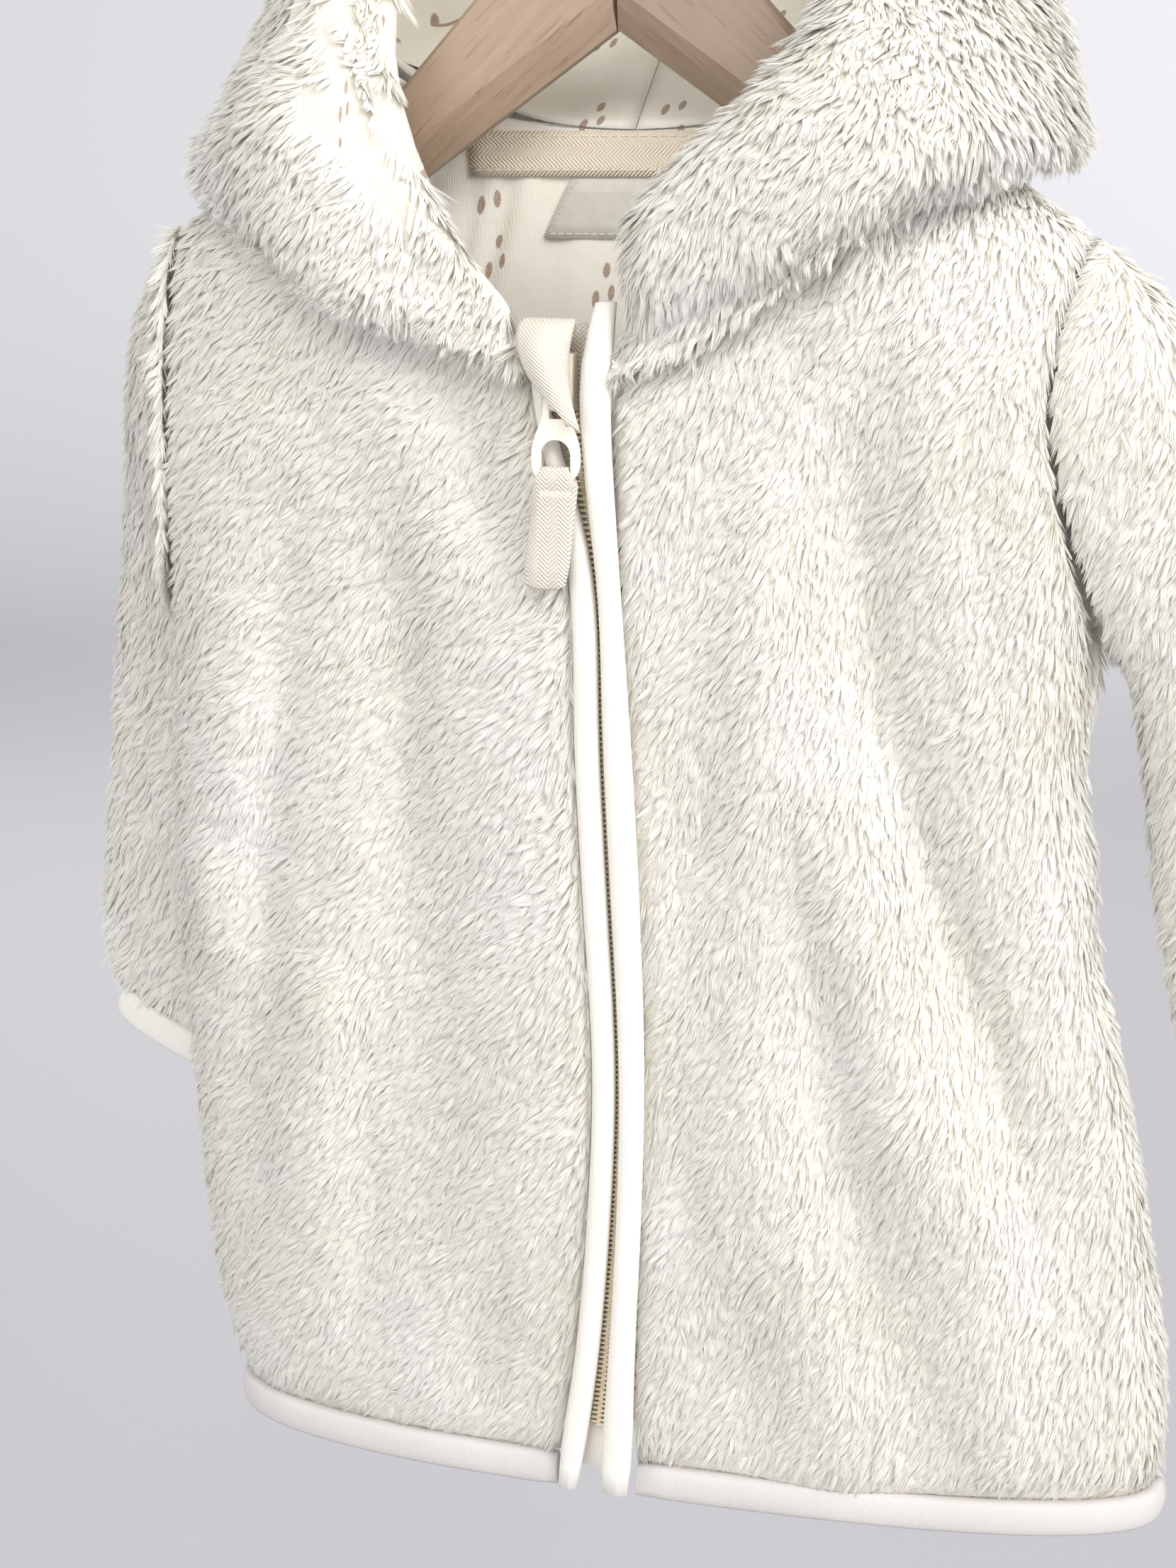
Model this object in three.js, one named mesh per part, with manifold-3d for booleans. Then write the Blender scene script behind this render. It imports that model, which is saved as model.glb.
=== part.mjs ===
// Baby's hooded fleece jacket, zipped up and hanging on a wooden hanger.
// Millimetres, +Z up, +X to the viewer's right, -Y to the viewer.
// Everything is laid out from the top of the zip. The finished group is moved so that the
// origin is where the hanger's hook bears on a rail.
import * as THREE from 'three';
import Module from 'manifold-3d';
import { mergeVertices } from 'three/addons/utils/BufferGeometryUtils.js';

const wasm = await Module();
wasm.setup();

// Driving dimensions
const MID_Y = -4;            // plane of the hanger, the side seams and the shoulder ridge
const SEAM_GAP = 0.3;        // space left between sewn pieces
const FLEECE = 7;            // fleece wall, pile included
const FLEECE_AT_EDGE = 4.6;  // fleece wall where a binding squeezes it
const SLEEVE_WALL = 6;
const JERSEY = 1.2;          // lining wall
const EDGE_FLAT = 8;          // distance from a bound edge over which the wall stays thin
const EDGE_TAPER = 20;       // distance at which the wall reaches its full thickness
const HEM_TURN = 4;          // the binding grips the wall this far above the hem
const HEM = -315;            // lower edge of the fleece
const BINDING_HEIGHT = 10;
const BINDING_WALL = 5.6;
const BINDING_TOP = { left: -9.5, right: 0.5 };  // the left one ends under the garage
const ARMPIT = -86;
const SHOULDER_TIP = { x: 119, z: 19 };
const SHOULDER_SLOPE = 0.7;
const NECK_SIDE = 62;        // half-width of the neck hole
const FRONT_NECK = -17;      // height of the neck seam beside the zip
const BACK_NECK = 42;        // height of the neck seam at the centre back
const RIDGE_ROLL = 55;       // height over which the shoulder rounds down to the full depth
const FRONT_FULLNESS = 2.6;  // exponent of the front's section, from the zip to the side seam
const BACK_FULLNESS = 3;
// Where a panel's walls face: a share of x, and a distance below each point
const BODY_HEART = { spread: 0.6, below: 20 };
const ARMHOLE_DEPTH = 22;    // half-depth of the armhole's opening

// Grid sizes
const FRONT_CELLS = { neck: 8, shoulder: 6, rows: 24 };
const BACK_CELLS = { neck: 6, shoulder: 6, rows: 22 };
const SLEEVE_CELLS = { around: 20, along: 15 };
const HOOD_CELLS = { front: FRONT_CELLS.neck, back: BACK_CELLS.neck, rows: 16 };
const TOP_BUNCHING = 1.4;    // rows of the body crowd towards the shoulder
const FRONT_SPREAD = 1.7;    // columns of the front crowd towards the side seam
const BACK_SPREAD = 1.4;
const TOP_BLEND = 3;         // how late the columns turn to their places on the neck and the shoulder

// Body sections: x of each side, depth of the front and of the back from MID_Y
const TORSO = [
  { z: -318, left: -113, right: 156, front: 32, back: 25 },
  { z: -300, left: -120, right: 158, front: 33, back: 26 },
  { z: -258, left: -125, right: 153, front: 34, back: 27 },
  { z: -200, left: -128, right: 140, front: 35, back: 28 },
  { z: -160, left: -130, right: 131, front: 35, back: 28 },
  { z: -125, left: -129, right: 126, front: 35, back: 28 },
  { z: -86, left: -127, right: 127, front: 34.5, back: 28 },
  { z: -50, left: -130, right: 130, front: 34, back: 27.5 },
  { z: -10, left: -131, right: 131, front: 34, back: 27 },
  { z: 60, left: -131, right: 131, front: 34, back: 27 },
];

// Armhole seam: x on each side
const ARMHOLE = [
  { z: -86, left: -127, right: 127 },
  { z: -62, left: -122, right: 119.5 },
  { z: -40, left: -120, right: 113.5 },
  { z: -20, left: -119, right: 111 },
  { z: 0, left: -119, right: 114 },
  { z: 19, left: -119, right: 119 },
];

// Zip line: outer and inner edges of the two front bindings, and how far each stands forward
const ZIP_LINE = [
  { z: -322, leftOuter: -9.4, leftInner: -1.4, rightInner: 3.2, rightOuter: 13.4, rightFront: 40 },
  { z: -283, leftOuter: -3.3, leftInner: 3.7, rightInner: 6, rightOuter: 13.8, rightFront: 40 },
  { z: -240, leftOuter: 0.2, leftInner: 7, rightInner: 8.2, rightOuter: 15.4, rightFront: 40 },
  { z: -198, leftOuter: 1.6, leftInner: 8.2, rightInner: 8.8, rightOuter: 16, rightFront: 40 },
  { z: -150, leftOuter: -1.2, leftInner: 5.7, rightInner: 6.3, rightOuter: 14.4, rightFront: 40 },
  { z: -110, leftOuter: -3.3, leftInner: 3.6, rightInner: 4.2, rightOuter: 12, rightFront: 40 },
  { z: -70, leftOuter: -4, leftInner: 2.6, rightInner: 3.1, rightOuter: 9, rightFront: 40.5 },
  { z: -46, leftOuter: -8.4, leftInner: -2.6, rightInner: 0.2, rightOuter: 7.8, rightFront: 42 },
  { z: -30, leftOuter: -12.6, leftInner: -9.4, rightInner: -0.9, rightOuter: 7, rightFront: 43 },
  { z: -20, leftOuter: -14, leftInner: -10, rightInner: -1.3, rightOuter: 6.9, rightFront: 43 },
  { z: -8, leftOuter: -15.5, leftInner: -11.5, rightInner: -1.2, rightOuter: 8, rightFront: 42.5 },
  { z: 1, leftOuter: -16.5, leftInner: -11.5, rightInner: 1.6, rightOuter: 9.5, rightFront: 41 },
];
const LEFT_BINDING_FRONT = 40;
const FRONT_BINDING = { steps: 22, squeeze: 0.72, extra: 0.4 };  // squeeze: how the two ends close in

// Troughs in the hanging cloth: top, middle and low points of each line, half-width and depth
const FOLDS = [
  { on: 'front', xTop: -62, zTop: -20, xMid: -49, zMid: -140, xLow: -62, zLow: -300, half: 17, depth: 6 },
  { on: 'front', xTop: -84, zTop: -40, xMid: -83, zMid: -150, xLow: -106, zLow: -250, half: 13, depth: 5.5 },
  { on: 'front', xTop: -22, zTop: -262, xMid: -26, zMid: -285, xLow: -31, zLow: -312, half: 9, depth: 3.5 },
  { on: 'front', xTop: -34, zTop: -12, xMid: -27, zMid: -40, xLow: -18, zLow: -72, half: 12, depth: 3 },
  { on: 'front', xTop: 28, zTop: -84, xMid: 30, zMid: -190, xLow: 60, zLow: -315, half: 10, depth: 4.5 },
  { on: 'front', xTop: 58, zTop: -118, xMid: 65, zMid: -200, xLow: 100, zLow: -310, half: 13, depth: 5.5 },
  { on: 'front', xTop: 60, zTop: 8, xMid: 84, zMid: -125, xLow: 143, zLow: -262, half: 16, depth: 7 },
  { on: 'front', xTop: 48, zTop: -12, xMid: 33, zMid: -50, xLow: 18, zLow: -90, half: 11, depth: 2.5 },
  { on: 'back', xTop: -78, zTop: -30, xMid: -70, zMid: -160, xLow: -84, zLow: -312, half: 16, depth: 5 },
  { on: 'back', xTop: -30, zTop: -90, xMid: -22, zMid: -210, xLow: -34, zLow: -312, half: 14, depth: 4 },
  { on: 'back', xTop: 22, zTop: -60, xMid: 30, zMid: -180, xLow: 52, zLow: -312, half: 15, depth: 4.5 },
  { on: 'back', xTop: 74, zTop: -20, xMid: 84, zMid: -150, xLow: 112, zLow: -312, half: 16, depth: 5.5 },
];

// Shares of a fold over which it swells and dies out, and the soft ridges beside its trough,
// in shares of its depth and half-width
const FOLD_ENDS = { start: 0.2, end: 0.25 };
const FOLD_RIDGE = { height: 0.35, at: 1.9 };
const FOLD_TO_HEM = 8;       // a fold that ends this near the hem runs out through it
const FOLD_FADE = { edge: 2, seam: 14, ridge: 30 };  // distances over which folds die out at the seams

// Sleeve rings: outer edge, underarm edge and half-depth
const SLEEVE_LEFT = [
  { ox: -119, oy: -4, oz: 19, ix: -127, iy: -4, iz: -86, depth: 21 },
  { ox: -130, oy: 4, oz: 9, ix: -128.5, iy: 9, iz: -90, depth: 21 },
  { ox: -140, oy: 12, oz: -9, ix: -127, iy: 18, iz: -96, depth: 20 },
  { ox: -150, oy: 21, oz: -34, ix: -121, iy: 28, iz: -104, depth: 18 },
  { ox: -158, oy: 29, oz: -67, ix: -113, iy: 36, iz: -114, depth: 16 },
  { ox: -166, oy: 34, oz: -104, ix: -103, iy: 40, iz: -130, depth: 14.5 },
  { ox: -171, oy: 37, oz: -142, ix: -96, iy: 41, iz: -158, depth: 14 },
  { ox: -176, oy: 36, oz: -178, ix: -95, iy: 40, iz: -194, depth: 14 },
  { ox: -175, oy: 34, oz: -202, ix: -99, iy: 38, iz: -225, depth: 13.5 },
  { ox: -166, oy: 32, oz: -212, ix: -102, iy: 36, iz: -241, depth: 12.5 },
];
const SLEEVE_RIGHT = [
  { ox: 119, oy: -4, oz: 19, ix: 127, iy: -4, iz: -86, depth: 21 },
  { ox: 133, oy: -4, oz: 8, ix: 131, iy: -2, iz: -91, depth: 22 },
  { ox: 149, oy: -2, oz: -10, ix: 133.5, iy: 0, iz: -98, depth: 21 },
  { ox: 168, oy: 0, oz: -32, ix: 134.5, iy: 3, iz: -107, depth: 19 },
  { ox: 187, oy: 3, oz: -58, ix: 135.5, iy: 6, iz: -119, depth: 18 },
  { ox: 204, oy: 6, oz: -90, ix: 137.5, iy: 8, iz: -137, depth: 17 },
  { ox: 215, oy: 8, oz: -126, ix: 141, iy: 10, iz: -159, depth: 16 },
  { ox: 223, oy: 8, oz: -164, ix: 147, iy: 10, iz: -186, depth: 15 },
  { ox: 230, oy: 8, oz: -204, ix: 155, iy: 10, iz: -214, depth: 14.5 },
  { ox: 236, oy: 8, oz: -236, ix: 166, iy: 10, iz: -248, depth: 13.5 },
];
const SLEEVE_FULLNESS = 2.3;
const CUFF_TAPER = { from: 0.85, to: 0.97 };  // shares of the length where the wall thins towards the cuff

// Hood sections above the neck seam, from the fold on the chest to the crown: front edge (f),
// cheek (c), shoulder (h), side (s), centre back (b) and wall
const HOOD_LEFT = [
  {
    fx: -15.3, fy: -39, fz: -13, cx: -48, cy: -39.5, cz: 2, hx: -80, hy: -31.5, hz: 23,
    sx: -98, sy: 0, sz: 37, by: 40, bz: 40, wall: 4,
  },
  {
    fx: -15.8, fy: -41, fz: -9.5, cx: -56, cy: -45, cz: -5, hx: -88, hy: -34, hz: 15,
    sx: -111, sy: 2, sz: 28, by: 60, bz: 37, wall: 5,
  },
  {
    fx: -16.6, fy: -43, fz: -5, cx: -60, cy: -52, cz: 5, hx: -91, hy: -42, hz: 26,
    sx: -114, sy: 8, sz: 38, by: 73, bz: 50, wall: 6,
  },
  {
    fx: -19, fy: -43, fz: 2, cx: -62, cy: -50, cz: 26, hx: -91, hy: -36, hz: 44,
    sx: -109, sy: 15, sz: 56, by: 82, bz: 74, wall: 6,
  },
  {
    fx: -36, fy: -40, fz: 24, cx: -68, cy: -44, cz: 54, hx: -89, hy: -16, hz: 69,
    sx: -99, sy: 22, sz: 78, by: 85, bz: 102, wall: 6,
  },
  {
    fx: -52, fy: -28, fz: 60, cx: -70, cy: -21, cz: 90, hx: -79, hy: 6, hz: 102,
    sx: -81, sy: 30, sz: 108, by: 79, bz: 130, wall: 6,
  },
  {
    fx: -48, fy: 2, fz: 104, cx: -52, cy: 10, cz: 124, hx: -54, hy: 22, hz: 133,
    sx: -53, sy: 35, sz: 138, by: 70, bz: 149, wall: 6,
  },
  {
    fx: 0, fy: 16, fz: 142, cx: 0, cy: 24, cz: 149, hx: 0, hy: 33, hz: 154,
    sx: 0, sy: 42, sz: 157, by: 57, bz: 159, wall: 5,
  },
];
const HOOD_RIGHT = [
  {
    fx: 8.6, fy: -40, fz: -13, cx: 48, cy: -39.5, cz: 8, hx: 82, hy: -31.5, hz: 28,
    sx: 98, sy: 0, sz: 38, by: 40, bz: 40, wall: 4,
  },
  {
    fx: 9.6, fy: -43, fz: -8, cx: 56, cy: -46, cz: 10, hx: 88, hy: -34, hz: 25,
    sx: 114, sy: 2, sz: 31, by: 60, bz: 37, wall: 5,
  },
  {
    fx: 10.4, fy: -46, fz: -1, cx: 60, cy: -53, cz: 20, hx: 93, hy: -42, hz: 36,
    sx: 118, sy: 8, sz: 42, by: 73, bz: 50, wall: 6,
  },
  {
    fx: 9, fy: -47, fz: 10, cx: 61, cy: -51, cz: 38, hx: 94, hy: -36, hz: 52,
    sx: 114, sy: 15, sz: 57, by: 82, bz: 74, wall: 6,
  },
  {
    fx: 13, fy: -44, fz: 29, cx: 58, cy: -42, cz: 58, hx: 92, hy: -16, hz: 74,
    sx: 107, sy: 22, sz: 76, by: 85, bz: 102, wall: 6,
  },
  {
    fx: 42, fy: -32, fz: 55, cx: 70, cy: -20, cz: 84, hx: 84, hy: 8, hz: 98,
    sx: 88, sy: 30, sz: 104, by: 79, bz: 130, wall: 6,
  },
  {
    fx: 58, fy: -6, fz: 97, cx: 61, cy: 6, cz: 120, hx: 60, hy: 21, hz: 132,
    sx: 55, sy: 35, sz: 138, by: 70, bz: 149, wall: 6,
  },
  {
    fx: 0, fy: 16, fz: 142, cx: 0, cy: 24, cz: 149, hx: 0, hy: 33, hz: 154,
    sx: 0, sy: 42, sz: 157, by: 57, bz: 159, wall: 5,
  },
];
const HOOD_QUARTER = { x: 0.7, y: 0.72, z: 0.4 };  // point between side and centre back, in shares
const HOOD_SEAM = { wall: 3, out: 0.5, up: 0.6 };  // at the neck seam, just off the body's edge
const HOOD_ON_BODY = 4;      // least space between the hood's fold and the body
const HOOD_SIDE_LIFT = 7.5;  // extra space at the side neck, where the cloth turns sharply
const HOOD_SIDE_POWER = 4;   // how closely that extra space keeps to the side
const HOOD_ON_RIDGE = 12;    // within this of the shoulder ridge the fold is lifted up, beyond it out
const HOOD_LINING_LIFT = 3;  // height of the lining's lower edge above the neck seam at the side
const HOOD_LINING_GAP = 1.2;
const HOOD_BUNCHING = 1.2;   // rows of the hood crowd towards the neck seam
const LINING_TOP = 0.6;      // how far the lining's last row stays below the hood's, in rows
const HOOD_ROLL_ROW = 3;     // row where the hood turns up from the shoulder
const HOOD_HEART = new THREE.Vector3(0, 15, 80);
const LINING_LOW_ROWS = 4;   // rows of the lining below the hood's roll
const LINING_ROLL_ROW = 3.9; // row above which the lining follows the hood all round
// Round the neck, in places from 3 at the side to 5 at the centre back: the lining's lower edge
// drops from the roll to the seam, and then comes forward to the back lining
const LINING_START = { from: 2.9, to: 4.2, row: 0.3, belowRoll: 0.2 };
const LINING_JOIN = { from: 3.4, to: 4.4 };

// Back neck trim
const BACK_LINING = {
  from: -60, to: 60, bottom: -70, below: 1, cornerFrom: 50, cornerDrop: 30, forward: 0.7,
};
const ON_BACK_LINING = BACK_LINING.forward + JERSEY + SEAM_GAP;
const NECK_TAPE = { top: 41, bottom: 29.5, from: -44, to: 44, wall: 1, forward: ON_BACK_LINING + 0.3 };
const LABEL = {
  top: 29, bottom: 13.7, from: -17.5, to: 14, slant: 7.5, wall: 0.7, forward: ON_BACK_LINING,
};

// Zip
const ZIP_TAPE = { half: 7.5, back: 32.2, wall: 1, bottom: -306, top: -5 };
const ZIP_GUARD = { half: 9, back: 30.3, wall: 1.5, bottom: -320, top: -5 };
const ZIP_STEPS = 16;
const SLIDER = { x: -5.9, top: -12, bottom: -26, half: 3.2, front: -40, back: -34.4 };
const BRIDGE = { half: 1.1, bar: 1.2, opening: 4.6, top: -13, bottom: -24.8, leg: 1.6 };
const PULLER = {
  wall: 1.6, y: -43.4, top: -20.6, neckHalf: 2.9, shoulder: { half: 4.3, z: -29.5 }, ringZ: -36.2,
  ringOuter: 6.1, holeHalf: 3.8, holeLow: -40.3, low: -42.6, eyeTop: -22, eyeLow: -27.4, eyeHalf: 1.6,
};
const PULL_TAPE = {
  layer: 1, clear: 0.4, apart: 0.1, shoulder: 0.6, topHalf: 3.4, half: 5.6, low: -69.5, join: -45.5,
  wide: -43.2, lean: -3,
};

// Garage: the flap's two edges from the tuck inside the neck to the tip
const GARAGE = [
  { lx: -13, ly: -37, lz: -6.5, rx: -2.5, ry: -37, rz: -6.5, crown: 0 },
  { lx: -14.3, ly: -39.5, lz: -3, rx: -1.6, ry: -39.8, rz: -3.2, crown: 0.5 },
  { lx: -15.6, ly: -44, lz: -5.2, rx: -1.1, ry: -43.5, rz: -5, crown: 2.4 },
  { lx: -15, ly: -46.6, lz: -10.5, rx: -1.9, ry: -45, rz: -10.5, crown: 4.5 },
  { lx: -12.2, ly: -48, lz: -16.5, rx: -2, ry: -46, rz: -17, crown: 3.6 },
  { lx: -8.2, ly: -48.8, lz: -21.2, rx: -0.9, ry: -46.8, rz: -23, crown: 1.4 },
  { lx: -4.4, ly: -48.8, lz: -25.2, rx: 0.5, ry: -47, rz: -27.6, crown: 0.6 },
  { lx: -1.4, ly: -48, lz: -28.4, rx: 1.2, ry: -46.8, rz: -30.4, crown: 0 },
];
const GARAGE_CELLS = { across: 6, along: 12 };
const GARAGE_WALL = 1.7;
const GARAGE_HEART = new THREE.Vector3(-7, -38, -17);

// Hanger: upper and lower outline of one arm, and the hook
const HANGER_THICK = 12;
const HANGER_EDGE = { size: 1.5, deep: 4 };
const HANGER_CHAMFER = 8;    // how far the lower edges slope up on both faces
const HANGER_MIDDLE = { z: 81, slope: -0.73, fadeFrom: 80, fadeTo: 100 };
const HANGER_OUTLINE = [
  { x: 0.15, z: 98 }, { x: 18, z: 89.5 }, { x: 37, z: 71.5 }, { x: 57, z: 50.2 }, { x: 80, z: 33.5 },
  { x: 103, z: 17 }, { x: 110, z: 10 }, { x: 112, z: 3 }, { x: 109, z: -3 }, { x: 103, z: -5 },
  { x: 80, z: 9.5 }, { x: 57, z: 25 }, { x: 0.15, z: 64.5 },
];
const HOOK = { wire: 1.8, radius: 18, centre: 130, foot: 98.4, sides: 8, steps: 30 };

// Colours
const FLEECE_LOOK = { color: 0xeeece4, roughness: 0.95 };
const JERSEY_LOOK = { color: 0xf0ead7, roughness: 0.9 };
const BINDING_LOOK = { color: 0xf1eee3, roughness: 0.85 };
const TAPE_LOOK = { color: 0xe8dac3, roughness: 0.85 };
const LABEL_LOOK = { color: 0xe1e0d7, roughness: 0.5 };
const PLASTIC_LOOK = { color: 0xeee6d7, roughness: 0.4 };
const WOOD_LOOK = { color: 0xcda98c, roughness: 0.6 };
const STEEL_LOOK = { color: 0xc8c8c8, roughness: 0.25, metalness: 1 };

const jacket = new THREE.Group();
const { lerp, clamp } = THREE.MathUtils;

// Small maths

// A smooth curve through four neighbouring values, at t between the middle two
function curveThrough(before, start, end, after, t) {
  const slopeStart = (end - before) / 2;
  const slopeEnd = (after - start) / 2;
  const t2 = t * t;
  const t3 = t2 * t;
  return (2 * t3 - 3 * t2 + 1) * start + (t3 - 2 * t2 + t) * slopeStart
    + (3 * t2 - 2 * t3) * end + (t3 - t2) * slopeEnd;
}

// One column of a table at a height, joined smoothly
function atHeight(table, z, column) {
  const last = table.length - 1;
  if (z <= table[0].z) return table[0][column];
  if (z >= table[last].z) return table[last][column];
  const i = table.findIndex((row) => row.z > z) - 1;
  const span = table[i + 1].z - table[i].z;
  const slopeAt = (k) => {
    const low = Math.max(k - 1, 0);
    const high = Math.min(k + 1, last);
    return (table[high][column] - table[low][column]) / (table[high].z - table[low].z) * span;
  };
  const t = (z - table[i].z) / span;
  const start = table[i][column];
  const end = table[i + 1][column];
  return curveThrough(end - 2 * slopeAt(i), start, end, start + 2 * slopeAt(i + 1), t);
}

// A point on the smooth curve through a list of points, at t counted in points
function pointOnCurve(points, t, before, after) {
  const last = points.length - 1;
  const i = clamp(Math.floor(t), 0, last - 1);
  const beyond = (end, next) => end.clone().multiplyScalar(2).sub(next);
  const a = i > 0 ? points[i - 1] : before ?? beyond(points[0], points[1]);
  const b = points[i];
  const c = points[i + 1];
  const d = i + 2 <= last ? points[i + 2] : after ?? beyond(points[last], points[last - 1]);
  const f = t - i;
  return new THREE.Vector3(
    curveThrough(a.x, b.x, c.x, d.x, f),
    curveThrough(a.y, b.y, c.y, d.y, f),
    curveThrough(a.z, b.z, c.z, d.z, f),
  );
}

// Height of a rounded section at a fraction of its half-width, 1 in the middle and 0 at the side
function roundOff(fraction, exponent) {
  const f = clamp(Math.abs(fraction), 0, 1);
  return (1 - f ** exponent) ** (1 / exponent);
}

// Walls

// Grid of points, first index across and second along
function makeGrid(across, along, pointAt) {
  const grid = [];
  for (let i = 0; i <= across; i += 1) {
    const line = [];
    for (let j = 0; j <= along; j += 1) {
      line.push(pointAt(i / across, j / along, i, j));
    }
    grid.push(line);
  }
  return grid;
}

// Directions square to a grid, all on the side that the heart function's points lie
function gridNormals(grid, heartOf, closed = false) {
  const m = grid.length;
  const n = grid[0].length;
  let agree = 0;
  const normals = grid.map((line, i) => line.map((point, j) => {
    const east = closed ? grid[(i + 1) % m][j] : grid[Math.min(i + 1, m - 1)][j];
    const west = closed ? grid[(i + m - 1) % m][j] : grid[Math.max(i - 1, 0)][j];
    const north = line[Math.min(j + 1, n - 1)];
    const south = line[Math.max(j - 1, 0)];
    const normal = east.clone().sub(west).cross(north.clone().sub(south)).normalize();
    agree += normal.dot(heartOf(point).sub(point).normalize());
    return normal;
  }));
  if (agree < 0) normals.forEach((line) => line.forEach((normal) => normal.negate()));
  return normals;
}

// The grid moved along its normals by a distance that may vary
function moveGrid(grid, normals, distanceAt) {
  return grid.map((line, i) => line.map((point, j) => (
    point.clone().addScaledVector(normals[i][j], distanceAt(i, j))
  )));
}

function signedVolume(points, faces) {
  const cross = new THREE.Vector3();
  return faces.reduce((sum, [a, b, c]) => (
    sum + points[a].dot(cross.crossVectors(points[b], points[c]))
  ), 0);
}

// A closed geometry from points and triangles, turned so that its faces point out
function closedGeometry(points, faces) {
  const turned = signedVolume(points, faces) < 0 ? faces.map(([a, b, c]) => [a, c, b]) : faces;
  const geometry = new THREE.BufferGeometry();
  const places = points.flatMap((p) => [p.x, p.y, p.z]);
  geometry.setAttribute('position', new THREE.Float32BufferAttribute(places, 3));
  geometry.setIndex(turned.flat());
  geometry.computeVertexNormals();
  return geometry;
}

function addPiece(name, geometry, look) {
  const material = new THREE.MeshStandardMaterial(look);
  material.name = name;
  const mesh = new THREE.Mesh(geometry, material);
  mesh.name = name;
  jacket.add(mesh);
  return mesh;
}

// A wall between an outer and an inner grid, closed at its rims, or round into a tube
function addWall(name, outer, inner, look, closed = false) {
  const m = outer.length;
  const n = outer[0].length;
  const points = [...outer.flat(), ...inner.flat()];
  const out = (i, j) => (i % m) * n + j;
  const into = (i, j) => m * n + out(i, j);
  const faces = [];
  const quad = (a, b, c, d) => faces.push([a, b, c], [a, c, d]);
  const columns = closed ? m : m - 1;
  for (let i = 0; i < columns; i += 1) {
    for (let j = 0; j < n - 1; j += 1) {
      quad(out(i, j), out(i + 1, j), out(i + 1, j + 1), out(i, j + 1));
      quad(into(i, j), into(i, j + 1), into(i + 1, j + 1), into(i + 1, j));
    }
    quad(out(i, 0), into(i, 0), into(i + 1, 0), out(i + 1, 0));
    quad(out(i, n - 1), out(i + 1, n - 1), into(i + 1, n - 1), into(i, n - 1));
  }
  if (!closed) {
    for (let j = 0; j < n - 1; j += 1) {
      quad(out(0, j), out(0, j + 1), into(0, j + 1), into(0, j));
      quad(out(m - 1, j), into(m - 1, j), into(m - 1, j + 1), out(m - 1, j + 1));
    }
  }
  return addPiece(name, closedGeometry(points, faces), look);
}

// A bar through a list of rings, with flat ends, or joined into a loop
function addBar(name, rings, look, loop = false) {
  const sides = rings[0].length;
  const points = rings.flat();
  const faces = [];
  const spans = loop ? rings.length : rings.length - 1;
  for (let k = 0; k < spans; k += 1) {
    const next = (k + 1) % rings.length;
    for (let s = 0; s < sides; s += 1) {
      const t = (s + 1) % sides;
      faces.push([k * sides + s, k * sides + t, next * sides + t]);
      faces.push([k * sides + s, next * sides + t, next * sides + s]);
    }
  }
  if (!loop) {
    const end = (rings.length - 1) * sides;
    for (let s = 1; s < sides - 1; s += 1) {
      faces.push([0, s + 1, s]);
      faces.push([end, end + s, end + s + 1]);
    }
  }
  return addPiece(name, closedGeometry(points, faces), look);
}

// Rounded oblong section with a half-width along one direction and a half-height along another
const SECTION_SIDES = 8;
const SECTION_FULLNESS = 3;
function oblong(centre, wide, halfWide, high, halfHigh) {
  const ring = [];
  for (let s = 0; s < SECTION_SIDES; s += 1) {
    const angle = (s + 0.5) / SECTION_SIDES * 2 * Math.PI;
    const power = 2 / SECTION_FULLNESS;
    const u = Math.sign(Math.cos(angle)) * Math.abs(Math.cos(angle)) ** power;
    const v = Math.sign(Math.sin(angle)) * Math.abs(Math.sin(angle)) ** power;
    ring.push(centre.clone().addScaledVector(wide, u * halfWide).addScaledVector(high, v * halfHigh));
  }
  return ring;
}

// Body

function sideEdge(side, z) {
  return atHeight(TORSO, z, side < 0 ? 'left' : 'right');
}

function armholeX(side, z) {
  return atHeight(ARMHOLE, z, side < 0 ? 'left' : 'right');
}

function outerEdge(side, z) {
  return z < ARMPIT ? sideEdge(side, z) : armholeX(side, z);
}

function ridgeHeight(x) {
  return SHOULDER_TIP.z + (SHOULDER_TIP.x - Math.abs(x)) * SHOULDER_SLOPE;
}

// How much of the body's full depth is reached at a place below the shoulder ridge
function ridgeRounding(x, z) {
  const below = clamp((ridgeHeight(x) - z) / RIDGE_ROLL, 0, 1);
  return Math.sqrt(1 - (1 - below) ** 2);
}

function foldDepth(on, x, z) {
  let depth = 0;
  for (const fold of FOLDS) {
    if (fold.on === on && z < fold.zTop && z > fold.zLow) {
      const t = (fold.zTop - z) / (fold.zTop - fold.zLow);
      const mid = (fold.zTop - fold.zMid) / (fold.zTop - fold.zLow);
      const bend = (fold.xMid - lerp(fold.xTop, fold.xLow, mid)) / (mid * (1 - mid));
      const line = lerp(fold.xTop, fold.xLow, t) + bend * t * (1 - t);
      const away = (x - line) / fold.half;
      const fadeOut = fold.zLow < HEM + FOLD_TO_HEM ? 1 : Math.min(1, (1 - t) / FOLD_ENDS.end);
      const swell = Math.min(1, t / FOLD_ENDS.start) * fadeOut;
      const ridge = FOLD_RIDGE.height * Math.exp(-((Math.abs(away) - FOLD_RIDGE.at) ** 2));
      depth += fold.depth * swell * (Math.exp(-away * away) - ridge);
    }
  }
  return depth;
}

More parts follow.
